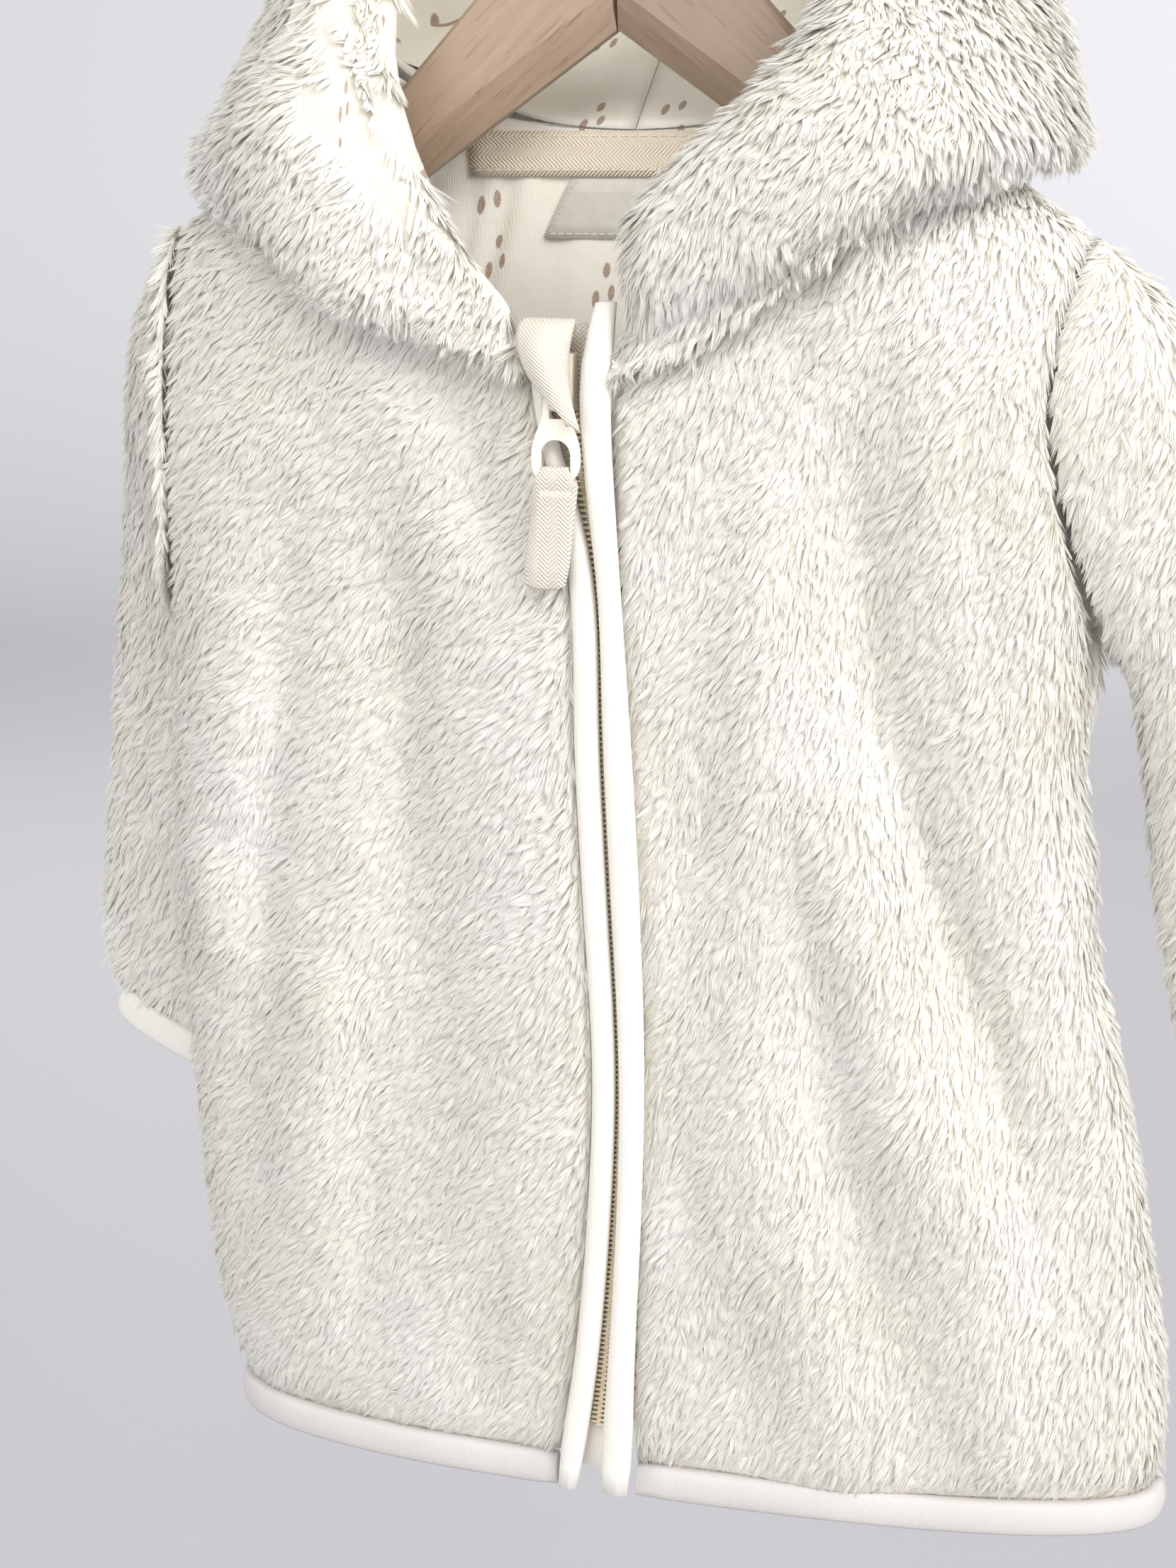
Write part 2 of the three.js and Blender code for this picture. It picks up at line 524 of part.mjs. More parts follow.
// Folds die out at the seams
function foldFade(x, frontEdge, side, z) {
  const { edge, seam, ridge } = FOLD_FADE;
  const fromFront = clamp((Math.abs(x - frontEdge) - edge) / seam, 0, 1);
  const fromSide = clamp((Math.abs(outerEdge(side, z) - x)) / seam, 0, 1);
  const fromTop = clamp((ridgeHeight(x) - z) / ridge, 0, 1);
  return fromFront * fromSide * fromTop;
}

function frontY(side, x, z, frontEdge) {
  const depth = atHeight(TORSO, z, 'front');
  const shape = roundOff(x / sideEdge(side, z), FRONT_FULLNESS) * ridgeRounding(x, z);
  return MID_Y - depth * shape + foldDepth('front', x, z) * foldFade(x, frontEdge, side, z);
}

function backY(side, x, z) {
  const depth = atHeight(TORSO, z, 'back');
  const shape = roundOff(x / sideEdge(side, z), BACK_FULLNESS) * ridgeRounding(x, z);
  return MID_Y + depth * shape - foldDepth('back', x, z) * foldFade(x, 2 * sideEdge(side, z), side, z);
}

// Neck seam: place on the front from the zip (0) to the side neck (1)
function frontNeck(side, t, startX) {
  const angle = t * Math.PI / 2;
  const x = lerp(Math.abs(startX), NECK_SIDE, Math.sin(angle));
  const z = lerp(FRONT_NECK, ridgeHeight(NECK_SIDE), 1 - Math.cos(angle));
  return { x: side * x, z };
}

// Neck seam: place on the back from the centre (0) to the side neck (1)
function backNeck(t) {
  const x = NECK_SIDE * Math.sin(t * Math.PI / 2);
  return { x, z: backNeckHeight(x) };
}

function backNeckHeight(x) {
  const f = clamp(Math.abs(x) / NECK_SIDE, 0, 1);
  return lerp(BACK_NECK, ridgeHeight(NECK_SIDE), 1 - Math.sqrt(1 - f * f));
}

// Moves an armhole seam point into the armhole by the wall, keeping it on the seam's surface
function armholeInset(side, point, wall) {
  const middle = (SHOULDER_TIP.z + ARMPIT) / 2;
  const high = (SHOULDER_TIP.z - ARMPIT) / 2;
  const dy = (point.y - MID_Y) / ARMHOLE_DEPTH ** 2;
  const dz = (point.z - middle) / high ** 2;
  const length = Math.hypot(dy, dz);
  const z = point.z - wall * dz / length;
  return new THREE.Vector3(armholeX(side, z), point.y - wall * dy / length, z);
}

// Wall thickness of a body panel, thinner towards its bound edges
function panelWall(edgeDistance) {
  return lerp(FLEECE_AT_EDGE, FLEECE, clamp((edgeDistance - EDGE_FLAT) / (EDGE_TAPER - EDGE_FLAT), 0, 1));
}

// Inner face of a body panel: square to the outer face, and level at the seams and the hem
function panelInner(outer, side, wallAt) {
  const heartOf = (p) => new THREE.Vector3(p.x * BODY_HEART.spread, MID_Y, p.z - BODY_HEART.below);
  const normals = gridNormals(outer, heartOf);
  const inner = moveGrid(outer, normals, wallAt);
  const seam = outer[outer.length - 1];
  seam.forEach((point, j) => {
    const wall = wallAt(outer.length - 1, j);
    inner[outer.length - 1][j] = point.z > ARMPIT
      ? armholeInset(side, point, wall)
      : point.clone().add(new THREE.Vector3(-side * wall, 0, 0));
  });
  inner.forEach((line, i) => {
    line[0].z = outer[i][0].z;
  });
  return inner;
}

function frontPanel(side) {
  const name = side < 0 ? 'left' : 'right';
  const across = FRONT_CELLS.neck + FRONT_CELLS.shoulder;
  const neckShare = FRONT_CELLS.neck / across;
  const edgeAt = (z) => atHeight(ZIP_LINE, z, `${name}Outer`) + side * SEAM_GAP;
  const topAt = (u) => {
    if (u <= neckShare) return frontNeck(side, u / neckShare, edgeAt(FRONT_NECK));
    const x = lerp(NECK_SIDE, SHOULDER_TIP.x, (u - neckShare) / (1 - neckShare));
    return { x: side * x, z: ridgeHeight(x) };
  };
  const outer = makeGrid(across, FRONT_CELLS.rows, (u, v) => {
    const top = topAt(u);
    const z = lerp(HEM, top.z, 1 - (1 - v) ** TOP_BUNCHING);
    const front = edgeAt(z);
    const far = outerEdge(side, z);
    const topShare = (top.x - edgeAt(top.z)) / (outerEdge(side, top.z) - edgeAt(top.z));
    const share = lerp(1 - (1 - u) ** FRONT_SPREAD, topShare, v ** TOP_BLEND);
    const x = lerp(front, far, clamp(share, 0, 1));
    const onSeam = u === 1 && z <= ARMPIT;
    const y = onSeam ? MID_Y : frontY(side, x, z, front);
    return new THREE.Vector3(x, Math.min(y, MID_Y) - SEAM_GAP / 2, z);
  });
  const wallAt = (i, j) => {
    const point = outer[i][j];
    const fromZip = Math.abs(point.x - edgeAt(point.z));
    return panelWall(Math.min(fromZip, point.z - HEM + HEM_TURN));
  };
  const inner = panelInner(outer, side, wallAt);
  inner[0].forEach((point, j) => {
    point.x = outer[0][j].x;
  });
  inner.forEach((line, i) => {
    if (i / across >= neckShare) line[FRONT_CELLS.rows].y = MID_Y - SEAM_GAP / 2;
  });
  addWall(`front_${name}`, outer, inner, FLEECE_LOOK);
  return { outer, inner };
}

function backPanel() {
  const { neck, shoulder, rows } = BACK_CELLS;
  const across = 2 * (neck + shoulder);
  const neckShare = neck / (neck + shoulder);
  const topAt = (share) => {
    if (share <= neckShare) return backNeck(share / neckShare);
    const x = lerp(NECK_SIDE, SHOULDER_TIP.x, (share - neckShare) / (1 - neckShare));
    return { x, z: ridgeHeight(x) };
  };
  const outer = makeGrid(across, rows, (u, v) => {
    const s = 2 * u - 1;
    const side = s < 0 ? -1 : 1;
    const top = topAt(Math.abs(s));
    const z = lerp(HEM, top.z, 1 - (1 - v) ** TOP_BUNCHING);
    const spread = 1 - (1 - Math.abs(s)) ** BACK_SPREAD;
    const x = lerp(spread, top.x / SHOULDER_TIP.x, v ** TOP_BLEND) * outerEdge(side, z);
    const onSeam = Math.abs(s) === 1 && z <= ARMPIT;
    const y = onSeam ? MID_Y : backY(side, x, z);
    return new THREE.Vector3(x, Math.max(y, MID_Y) + SEAM_GAP / 2, z);
  });
  const wallAt = (i, j) => panelWall(outer[i][j].z - HEM + HEM_TURN);
  const inner = panelInner(outer, 1, wallAt);
  outer[0].forEach((point, j) => {
    inner[0][j] = point.z > ARMPIT
      ? armholeInset(-1, point, wallAt(0, j))
      : point.clone().add(new THREE.Vector3(wallAt(0, j), 0, 0));
    inner[0][j].z = j === 0 ? point.z : inner[0][j].z;
  });
  inner.forEach((line, i) => {
    if (Math.abs(outer[i][rows].x) >= NECK_SIDE) line[rows].y = MID_Y + SEAM_GAP / 2;
  });
  addWall('back', outer, inner, FLEECE_LOOK);
  return { outer, inner };
}

// Sleeves

function sleeve(side, table) {
  const name = side < 0 ? 'left' : 'right';
  const middle = (SHOULDER_TIP.z + ARMPIT) / 2;
  const high = (SHOULDER_TIP.z - ARMPIT) / 2;
  const yAxis = new THREE.Vector3(0, 1, 0);
  const armholePoint = (angle) => {
    const z = middle + high * Math.cos(angle);
    const x = armholeX(side, z);
    const front = frontY(side, x, z, 0);
    const back = backY(side, x, z);
    const y = Math.sin(angle) > 0 ? front : back;
    const nearRidge = Math.abs(Math.sin(angle)) < 1e-6;
    return new THREE.Vector3(x + side * SEAM_GAP, nearRidge ? MID_Y : y, z);
  };
  const ringPoint = (row, angle, shrink) => {
    const outerEnd = new THREE.Vector3(row.ox, row.oy, row.oz);
    const innerEnd = new THREE.Vector3(row.ix, row.iy, row.iz);
    const centre = outerEnd.clone().add(innerEnd).multiplyScalar(0.5);
    const acrossWay = outerEnd.clone().sub(centre);
    const half = acrossWay.length();
    acrossWay.normalize();
    const deepWay = yAxis.clone().addScaledVector(acrossWay, -yAxis.dot(acrossWay)).normalize();
    const power = 2 / SLEEVE_FULLNESS;
    const u = Math.sign(Math.cos(angle)) * Math.abs(Math.cos(angle)) ** power;
    const v = Math.sign(Math.sin(angle)) * Math.abs(Math.sin(angle)) ** power;
    return centre.addScaledVector(acrossWay, u * (half - shrink))
      .addScaledVector(deepWay, -v * (row.depth - shrink));
  };
  const { from, to } = CUFF_TAPER;
  const wallAt = (v) => lerp(SLEEVE_WALL, FLEECE_AT_EDGE, clamp((v - from) / (to - from), 0, 1));
  const surface = (shrunk) => {
    const grid = [];
    for (let i = 0; i < SLEEVE_CELLS.around; i += 1) {
      const angle = i / SLEEVE_CELLS.around * 2 * Math.PI;
      const line = [];
      for (let j = 0; j <= SLEEVE_CELLS.along; j += 1) {
        const v = j / SLEEVE_CELLS.along;
        const shrink = shrunk ? wallAt(v) : 0;
        const stops = table.map((row, k) => {
          if (k > 0) return ringPoint(row, angle, shrink);
          const seam = armholePoint(angle);
          if (!shrunk) return seam;
          return armholeInset(side, seam, SLEEVE_WALL).add(new THREE.Vector3(side * SEAM_GAP, 0, 0));
        });
        line.push(pointOnCurve(stops, v * (table.length - 1)));
      }
      grid.push(line);
    }
    return grid;
  };
  const outer = surface(false);
  const inner = surface(true);
  addWall(`sleeve_${name}`, outer, inner, FLEECE_LOOK, true);
  return { outer, inner };
}

// Cuff binding: a soft ring on the sleeve's open end
function cuffBinding(name, { outer, inner }) {
  const last = outer[0].length - 1;
  const centre = new THREE.Vector3();
  outer.forEach((line) => centre.addScaledVector(line[last], 1 / outer.length));
  const quarter = Math.floor(outer.length / 4);
  const outward = outer[0][last].clone().sub(centre);
  const forward = outer[quarter][last].clone().sub(centre);
  const along = outward.cross(forward).normalize();
  if (along.z > 0) along.negate();
  const rings = outer.map((line, i) => {
    const middle = line[last].clone().add(inner[i][last]).multiplyScalar(0.5);
    const wide = line[last].clone().sub(inner[i][last]).normalize();
    middle.addScaledVector(along, SEAM_GAP + BINDING_HEIGHT / 2);
    return oblong(middle, along, BINDING_HEIGHT / 2, wide, BINDING_WALL / 2);
  });
  addBar(`cuff_binding_${name}`, rings, BINDING_LOOK, true);
}

// Bindings of the body

function frontBinding(side) {
  const name = side < 0 ? 'left' : 'right';
  const { steps, squeeze, extra } = FRONT_BINDING;
  const xWay = new THREE.Vector3(1, 0, 0);
  const yWay = new THREE.Vector3(0, 1, 0);
  const halfWall = BINDING_WALL / 2 + extra;
  const rings = [];
  for (let k = 0; k <= steps; k += 1) {
    const z = lerp(BINDING_TOP[name], HEM - BINDING_HEIGHT + 1, k / steps);
    const outer = atHeight(ZIP_LINE, z, `${name}Outer`);
    const inner = atHeight(ZIP_LINE, z, `${name}Inner`);
    const front = side < 0 ? LEFT_BINDING_FRONT : atHeight(ZIP_LINE, z, 'rightFront');
    const narrow = k === 0 || k === steps ? squeeze : 1;
    const centre = new THREE.Vector3((outer + inner) / 2, -front + halfWall, z);
    const halfWide = Math.abs(outer - inner) / 2 * narrow;
    rings.push(oblong(centre, xWay, halfWide, yWay, halfWall * narrow));
  }
  addBar(`front_binding_${name}`, rings, BINDING_LOOK);
}

// Hem binding under a panel, from the points of its lower edge
function hemBinding(name, edge) {
  const down = new THREE.Vector3(0, 0, -1);
  const rings = edge.map(({ outer, inner }) => {
    const wide = outer.clone().sub(inner).setZ(0).normalize();
    const centre = outer.clone().add(inner).multiplyScalar(0.5);
    centre.z = HEM - SEAM_GAP - BINDING_HEIGHT / 2;
    return oblong(centre, down, BINDING_HEIGHT / 2, wide, BINDING_WALL / 2);
  });
  addBar(`hem_binding_${name}`, rings, BINDING_LOOK);
}

function lowerEdge(panel) {
  return panel.outer.map((line, i) => ({ outer: line[0], inner: panel.inner[i][0] }));
}

// Hood

function hoodLine(side, row) {
  const front = new THREE.Vector3(row.fx, row.fy, row.fz);
  const cheek = new THREE.Vector3(row.cx, row.cy, row.cz);
  const ear = new THREE.Vector3(row.sx, row.sy, row.sz);
  const seamX = side * SEAM_GAP / 2;
  const back = new THREE.Vector3(seamX, row.by, row.bz);
  const shoulder = new THREE.Vector3(row.hx, row.hy, row.hz);
  const quarter = new THREE.Vector3(
    row.sx * HOOD_QUARTER.x,
    lerp(row.sy, row.by, HOOD_QUARTER.y),
    lerp(row.sz, row.bz, HOOD_QUARTER.z),
  );
  const mirrored = new THREE.Vector3(2 * seamX - quarter.x, quarter.y, quarter.z);
  return { points: [front, cheek, shoulder, ear, quarter, back], mirrored };
}

// Where the hood joins the body: just above the front's and the back's neck edge
function neckSeamPoint(side, share, onBack) {
  if (onBack) {
    const { x, z } = backNeck(1 - share);
    const y = Math.max(backY(side, x, z), MID_Y) + HOOD_SEAM.out;
    return new THREE.Vector3(side * x, y, z + HOOD_SEAM.up);
  }
  const edge = atHeight(ZIP_LINE, FRONT_NECK, side < 0 ? 'leftOuter' : 'rightOuter') + side * SEAM_GAP;
  const { x, z } = frontNeck(side, share, edge);
  const y = Math.min(frontY(side, x, z, edge), MID_Y) - HOOD_SEAM.out;
  return new THREE.Vector3(x, y, z + HOOD_SEAM.up);
}

// Lifts a point of the hood's fold clear of the body that it lies on
function clearOfBody(side, point, space) {
  if (Math.abs(point.x) > SHOULDER_TIP.x) return;
  const above = point.z - ridgeHeight(point.x);
  if (above > space) return;
  if (above > -space && Math.abs(point.y - MID_Y) < HOOD_ON_RIDGE) {
    point.z += space - above;
  } else if (point.y < MID_Y) {
    point.y = Math.min(point.y, frontY(side, point.x, point.z, 0) - space);
  } else {
    point.y = Math.max(point.y, backY(side, point.x, point.z) + space);
  }
}

function hoodSurface(side, table) {
  const lines = table.map((row) => hoodLine(side, row));
  const { front, back, rows } = HOOD_CELLS;
  return makeGrid(front + back, rows, (u, v, i, j) => {
    const onBack = i > front;
    const share = onBack ? (i - front) / back : i / front;
    const place = onBack ? 3 + 2 * share : 3 * share;
    const stops = lines.map(({ points, mirrored }) => pointOnCurve(points, place, undefined, mirrored));
    stops.unshift(neckSeamPoint(side, share, onBack));
    const point = pointOnCurve(stops, v ** HOOD_BUNCHING * (stops.length - 1));
    const nearSide = onBack ? 1 - share : share;
    const space = HOOD_ON_BODY + HOOD_SIDE_LIFT * nearSide ** HOOD_SIDE_POWER;
    if (j > 0 && j < rows / 3) clearOfBody(side, point, space);
    if (u === 1 || v === 1) point.x = side * SEAM_GAP / 2;
    return point;
  });
}

// Directions into the hood, level across its middle seam
function hoodNormals(grid) {
  const normals = gridNormals(grid, () => HOOD_HEART.clone());
  normals.forEach((line, i) => line.forEach((normal, j) => {
    if (i === normals.length - 1 || j === line.length - 1) normal.setX(0).normalize();
  }));
  return normals;
}

function hoodHalf(side, table) {
  const name = side < 0 ? 'left' : 'right';
  const { rows } = HOOD_CELLS;
  const outer = hoodSurface(side, table);
  const across = outer.length - 1;
  const normals = hoodNormals(outer);
  const walls = [HOOD_SEAM.wall, ...table.map((row) => row.wall)];
  const rowAt = (j) => (j / rows) ** HOOD_BUNCHING * table.length;
  const wallAt = (i, j) => {
    const k = Math.min(Math.floor(rowAt(j)), walls.length - 2);
    return lerp(walls[k], walls[k + 1], rowAt(j) - k);
  };
  const inner = moveGrid(outer, normals, wallAt);
  inner.forEach((line, i) => line.forEach((point, j) => {
    if (i === across || j === rows) point.x = outer[i][j].x;
    if (i === 0 && rowAt(j) <= HOOD_ROLL_ROW + 0.5) point.x = outer[i][j].x;
  }));
  addWall(`hood_${name}`, outer, inner, FLEECE_LOOK);
  return { inner, rowAt };
}

// Hood lining: on the hood's inner face above the roll, and below it straight down to the back lining
function hoodLining(side, { inner, rowAt }, backInner) {
  const name = side < 0 ? 'left' : 'right';
  const across = inner.length - 1;
  const { front, back, rows } = HOOD_CELLS;
  const rollRow = inner[0].findIndex((_, j) => rowAt(j) >= LINING_ROLL_ROW) + 0.5;
  const normals = hoodNormals(inner);
  const faceAt = (extra) => inner.map((line, i) => {
    const place = i > front ? 3 + 2 * (i - front) / back : 3 * i / front;
    const dropped = THREE.MathUtils.smoothstep(place, LINING_START.from, LINING_START.to);
    const first = place < LINING_JOIN.to ? LINING_START.row : 0;
    const start = lerp(rollRow - LINING_START.belowRoll, first, dropped);
    const on = (j) => line[j].clone().addScaledVector(normals[i][j], extra);
    const low = on(0);
    const roll = on(rollRow - 0.5).lerp(on(rollRow + 0.5), 0.5);
    low.z += HOOD_LINING_LIFT;
    const x = line[0].x;
    const forward = BACK_LINING.forward + SEAM_GAP + extra - HOOD_LINING_GAP;
    const join = onPanel(backInner, x, backNeckHeight(x), forward);
    join.z += SEAM_GAP - BACK_LINING.below;
    low.lerp(join, THREE.MathUtils.smoothstep(place, LINING_JOIN.from, LINING_JOIN.to));
    const lowRows = Array.from({ length: LINING_LOW_ROWS }, (_, k) => (
      lerp(start, rollRow, k / LINING_LOW_ROWS)
    ));
    const highRows = Array.from({ length: rows - rollRow + 0.5 }, (_, k) => (
      k === 0 ? rollRow : Math.min(rollRow - 0.5 + k, rows - LINING_TOP)
    ));
    return [...lowRows, ...highRows].map((row) => {
      const j = Math.min(Math.floor(row), rows - 1);
      const point = on(j).lerp(on(j + 1), row - j);
      if (row < rollRow) point.copy(low).lerp(roll, row / rollRow);
      if (i === across || row > rows - 1) point.x = side * SEAM_GAP / 2;
      return point;
    });
  });
  addWall(`hood_lining_${name}`, faceAt(HOOD_LINING_GAP), faceAt(HOOD_LINING_GAP + JERSEY), JERSEY_LOOK);
}

// Neck trim

// Point of a panel's column at a height, moved towards the front
function onColumn(column, z, forward) {
  let j = column.findIndex((point) => point.z > z);
  if (j < 0) j = column.length - 1;
  const low = column[j - 1];
  const high = column[j];
  const t = (z - low.z) / (high.z - low.z);
  const point = low.clone().lerp(high, t);
  point.y -= forward;
  return point;
}

// Point of a panel's inner face at x and z, moved towards the front
function onPanel(inner, x, z, forward) {
  const across = inner.map((column) => onColumn(column, Math.min(z, column[column.length - 1].z), forward));
  let i = across.findIndex((point) => point.x > x);
  if (i < 1) i = 1;
  const t = (x - across[i - 1].x) / (across[i].x - across[i - 1].x);
  const point = across[i - 1].clone().lerp(across[i], t);
  point.z = z;
  return point;
}

// A flat piece lying on the back panel's inner face, its lower left corner moved out by its slant
function backPiece(name, backInner, box, wall, cells, look) {
  const face = (forward) => makeGrid(cells.across, cells.rows, (u, v) => {
    const x = lerp(box.from, box.to, u);
    const z = lerp(box.bottom, box.topAt(x), v);
    return onPanel(backInner, x - (box.slant ?? 0) * (1 - u) * (1 - v), z, forward);
  });
  addWall(name, face(box.forward), face(box.forward + wall), look);
}

function neckTrim(backInner) {
  const { below, cornerFrom, cornerDrop, to } = BACK_LINING;
  const corner = (x) => cornerDrop * THREE.MathUtils.smoothstep(Math.abs(x), cornerFrom, to);
  const lining = { ...BACK_LINING, topAt: (x) => backNeckHeight(x) - below - corner(x) };
  const tape = { ...NECK_TAPE, topAt: () => NECK_TAPE.top };
  const label = { ...LABEL, topAt: () => LABEL.top };
  backPiece('back_lining', backInner, lining, JERSEY, { across: 16, rows: 8 }, JERSEY_LOOK);
  backPiece('neck_tape', backInner, tape, NECK_TAPE.wall, { across: 12, rows: 2 }, TAPE_LOOK);
  backPiece('neck_label', backInner, label, LABEL.wall, { across: 4, rows: 2 }, LABEL_LOOK);
}

// Zip

function zipMiddle(z) {
  return (atHeight(ZIP_LINE, z, 'leftInner') + atHeight(ZIP_LINE, z, 'rightInner')) / 2;
}

// A straight strip that follows the zip line between two distances from its middle
function zipStrip(name, from, to, strip, look) {
  const face = (depth) => makeGrid(1, ZIP_STEPS, (u, v) => {
    const z = lerp(strip.bottom, strip.top, v);
    return new THREE.Vector3(zipMiddle(z) + lerp(from, to, u), -depth, z);
  });
  addWall(name, face(strip.back + strip.wall), face(strip.back), look);
}

function toManifold(geometry) {
  const bare = geometry.clone();
  bare.deleteAttribute('normal');
  bare.deleteAttribute('uv');
  const merged = mergeVertices(bare);
  return new wasm.Manifold(new wasm.Mesh({
    numProp: 3,
    vertProperties: new Float32Array(merged.attributes.position.array),
    triVerts: new Uint32Array(merged.index.array),
  }));
}

function fromManifold(solid) {
  const mesh = solid.getMesh();
  const geometry = new THREE.BufferGeometry();
  geometry.setAttribute('position', new THREE.Float32BufferAttribute(mesh.vertProperties, 3));
  geometry.setIndex(Array.from(mesh.triVerts));
  geometry.computeVertexNormals();
  return geometry;
}

function boxBetween(low, high) {
  const size = high.clone().sub(low);
  const geometry = new THREE.BoxGeometry(size.x, size.y, size.z);
  const middle = low.clone().add(high).multiplyScalar(0.5);
  geometry.translate(middle.x, middle.y, middle.z);
  return geometry;
}

// Slider: a body with two plates and a bridge that holds the puller
function slider() {
  const at = (dx, y, z) => new THREE.Vector3(SLIDER.x + dx, y, z);
  const { half, front, back: rear, top, bottom } = SLIDER;
  const reach = front - BRIDGE.opening - BRIDGE.bar;
  const body = boxBetween(at(-half, front, bottom), at(half, rear, top));
  const bridge = boxBetween(at(-BRIDGE.half, reach, BRIDGE.bottom), at(BRIDGE.half, front + 1, BRIDGE.top));
  const space = boxBetween(
    at(-BRIDGE.half - 1, reach + BRIDGE.bar, BRIDGE.bottom + BRIDGE.leg),
    at(BRIDGE.half + 1, front, BRIDGE.top - BRIDGE.leg),
  );
  const solid = toManifold(body).add(toManifold(bridge)).subtract(toManifold(space));
  addPiece('zip_slider', fromManifold(solid), PLASTIC_LOOK);
}

// Puller: a flat neck with an eye on the bridge and a round end with a hole for the tape
function puller() {
  const outline = new THREE.Shape();
  const { neckHalf, top, shoulder, ringZ, ringOuter, low } = PULLER;
  outline.moveTo(-neckHalf, top);
  outline.lineTo(neckHalf, top);
  outline.quadraticCurveTo(neckHalf, shoulder.z + 2, shoulder.half, shoulder.z);
  outline.quadraticCurveTo(ringOuter, ringZ + 3, ringOuter, ringZ - 1);
  outline.quadraticCurveTo(ringOuter, low, ringOuter / 3, low);
  outline.lineTo(-ringOuter / 3, low);
  outline.quadraticCurveTo(-ringOuter, low, -ringOuter, ringZ - 1);
  outline.quadraticCurveTo(-ringOuter, ringZ + 3, -shoulder.half, shoulder.z);
  outline.quadraticCurveTo(-neckHalf, shoulder.z + 2, -neckHalf, top);
  outline.closePath();
  const eye = new THREE.Path();
  eye.moveTo(-PULLER.eyeHalf, PULLER.eyeLow);
  eye.lineTo(PULLER.eyeHalf, PULLER.eyeLow);
  eye.lineTo(PULLER.eyeHalf, PULLER.eyeTop);
  eye.lineTo(-PULLER.eyeHalf, PULLER.eyeTop);
  eye.closePath();
  const hole = new THREE.Path();
  hole.moveTo(-PULLER.holeHalf, PULLER.holeLow);
  hole.lineTo(PULLER.holeHalf, PULLER.holeLow);
  hole.lineTo(PULLER.holeHalf, ringZ);
  hole.absarc(0, ringZ, PULLER.holeHalf, 0, Math.PI, false);
  hole.closePath();
  outline.holes.push(eye, hole);
  const geometry = new THREE.ExtrudeGeometry(outline, {
    depth: PULLER.wall, bevelEnabled: false, curveSegments: 6,
  });
  geometry.rotateX(Math.PI / 2);
  geometry.translate(SLIDER.x, PULLER.y + PULLER.wall / 2, 0);
  addPiece('zip_puller', geometry, PLASTIC_LOOK);
}

// Pull tape: a loop of tape round the puller's lower bar, its two ends sewn together
function pullTape() {
  const front = PULLER.y - PULLER.wall / 2 - PULL_TAPE.clear;
  const back = PULLER.y + PULLER.wall / 2 + PULL_TAPE.clear;
  const { layer, join, low, shoulder, apart } = PULL_TAPE;
  const slotTop = PULLER.holeLow + PULL_TAPE.clear;
  const slotLow = PULLER.low - PULL_TAPE.clear;
  const outline = new THREE.Shape();
  outline.moveTo(front - layer, slotLow);
  outline.lineTo(PULLER.y - layer - apart, join);
  outline.lineTo(PULLER.y - layer - apart, low);
  outline.lineTo(PULLER.y + layer + apart, low);
  outline.lineTo(PULLER.y + layer + apart, join);
  outline.lineTo(back + layer, slotLow);
  outline.lineTo(back + layer, slotTop - shoulder);
  outline.lineTo(back, slotTop + layer);
  outline.lineTo(front, slotTop + layer);
  outline.lineTo(front - layer, slotTop - shoulder);
  outline.closePath();
  const slot = new THREE.Path();
  slot.moveTo(front, slotTop);
  slot.lineTo(back, slotTop);
  slot.lineTo(back, slotLow);
  slot.lineTo(PULLER.y, slotLow - shoulder);
  slot.lineTo(front, slotLow);
  slot.closePath();
  outline.holes.push(slot);
  const geometry = new THREE.ExtrudeGeometry(outline, { depth: 2, bevelEnabled: false });
  geometry.translate(0, 0, -1);
  const position = geometry.attributes.position;
  const inHole = PULLER.holeLow - SEAM_GAP;
  for (let i = 0; i < position.count; i += 1) {
    const y = position.getX(i);
    const z = position.getY(i);
    const side = position.getZ(i);
    const grown = clamp((inHole - z) / (inHole - PULL_TAPE.wide), 0, 1);
    const half = lerp(PULL_TAPE.topHalf, PULL_TAPE.half, grown);
    const lean = PULL_TAPE.lean * clamp((PULLER.low - z) / (PULLER.low - low), 0, 1);
    position.setXYZ(i, SLIDER.x + side * half + lean, y, z);
  }
  addPiece('pull_tape', geometry, TAPE_LOOK);
}

// Garage: a folded flap over the top of the zip
function garage() {
  const edges = GARAGE.map((row) => [
    new THREE.Vector3(row.lx, row.ly, row.lz),
    new THREE.Vector3(row.rx, row.ry, row.rz),
    new THREE.Vector3(0, -row.crown, 0),
  ]);
  const outer = makeGrid(GARAGE_CELLS.across, GARAGE_CELLS.along, (u, v) => {
    const t = v * (edges.length - 1);
    const left = pointOnCurve(edges.map((edge) => edge[0]), t);
    const right = pointOnCurve(edges.map((edge) => edge[1]), t);
    const crown = pointOnCurve(edges.map((edge) => edge[2]), t);
    return left.lerp(right, u).addScaledVector(crown, Math.sin(Math.PI * u));
  });
  const normals = gridNormals(outer, () => GARAGE_HEART);
  addWall('zip_garage', outer, moveGrid(outer, normals, () => GARAGE_WALL), BINDING_LOOK);
}

// Hanger

// Slopes both faces of an arm back along its lower edge
function chamferLowerEdges(position, flatHalf) {
  const { z: top, slope, fadeFrom, fadeTo } = HANGER_MIDDLE;
  for (let i = 0; i < position.count; i += 1) {
    const x = position.getX(i);
    const z = position.getZ(i);
    const toFace = (Math.abs(position.getY(i)) - flatHalf) / HANGER_EDGE.deep;
    const fade = 1 - THREE.MathUtils.smoothstep(x, fadeFrom, fadeTo);
    if (z < top + slope * x) position.setZ(i, z + HANGER_CHAMFER * clamp(toFace, 0, 1) * fade);
  }
}

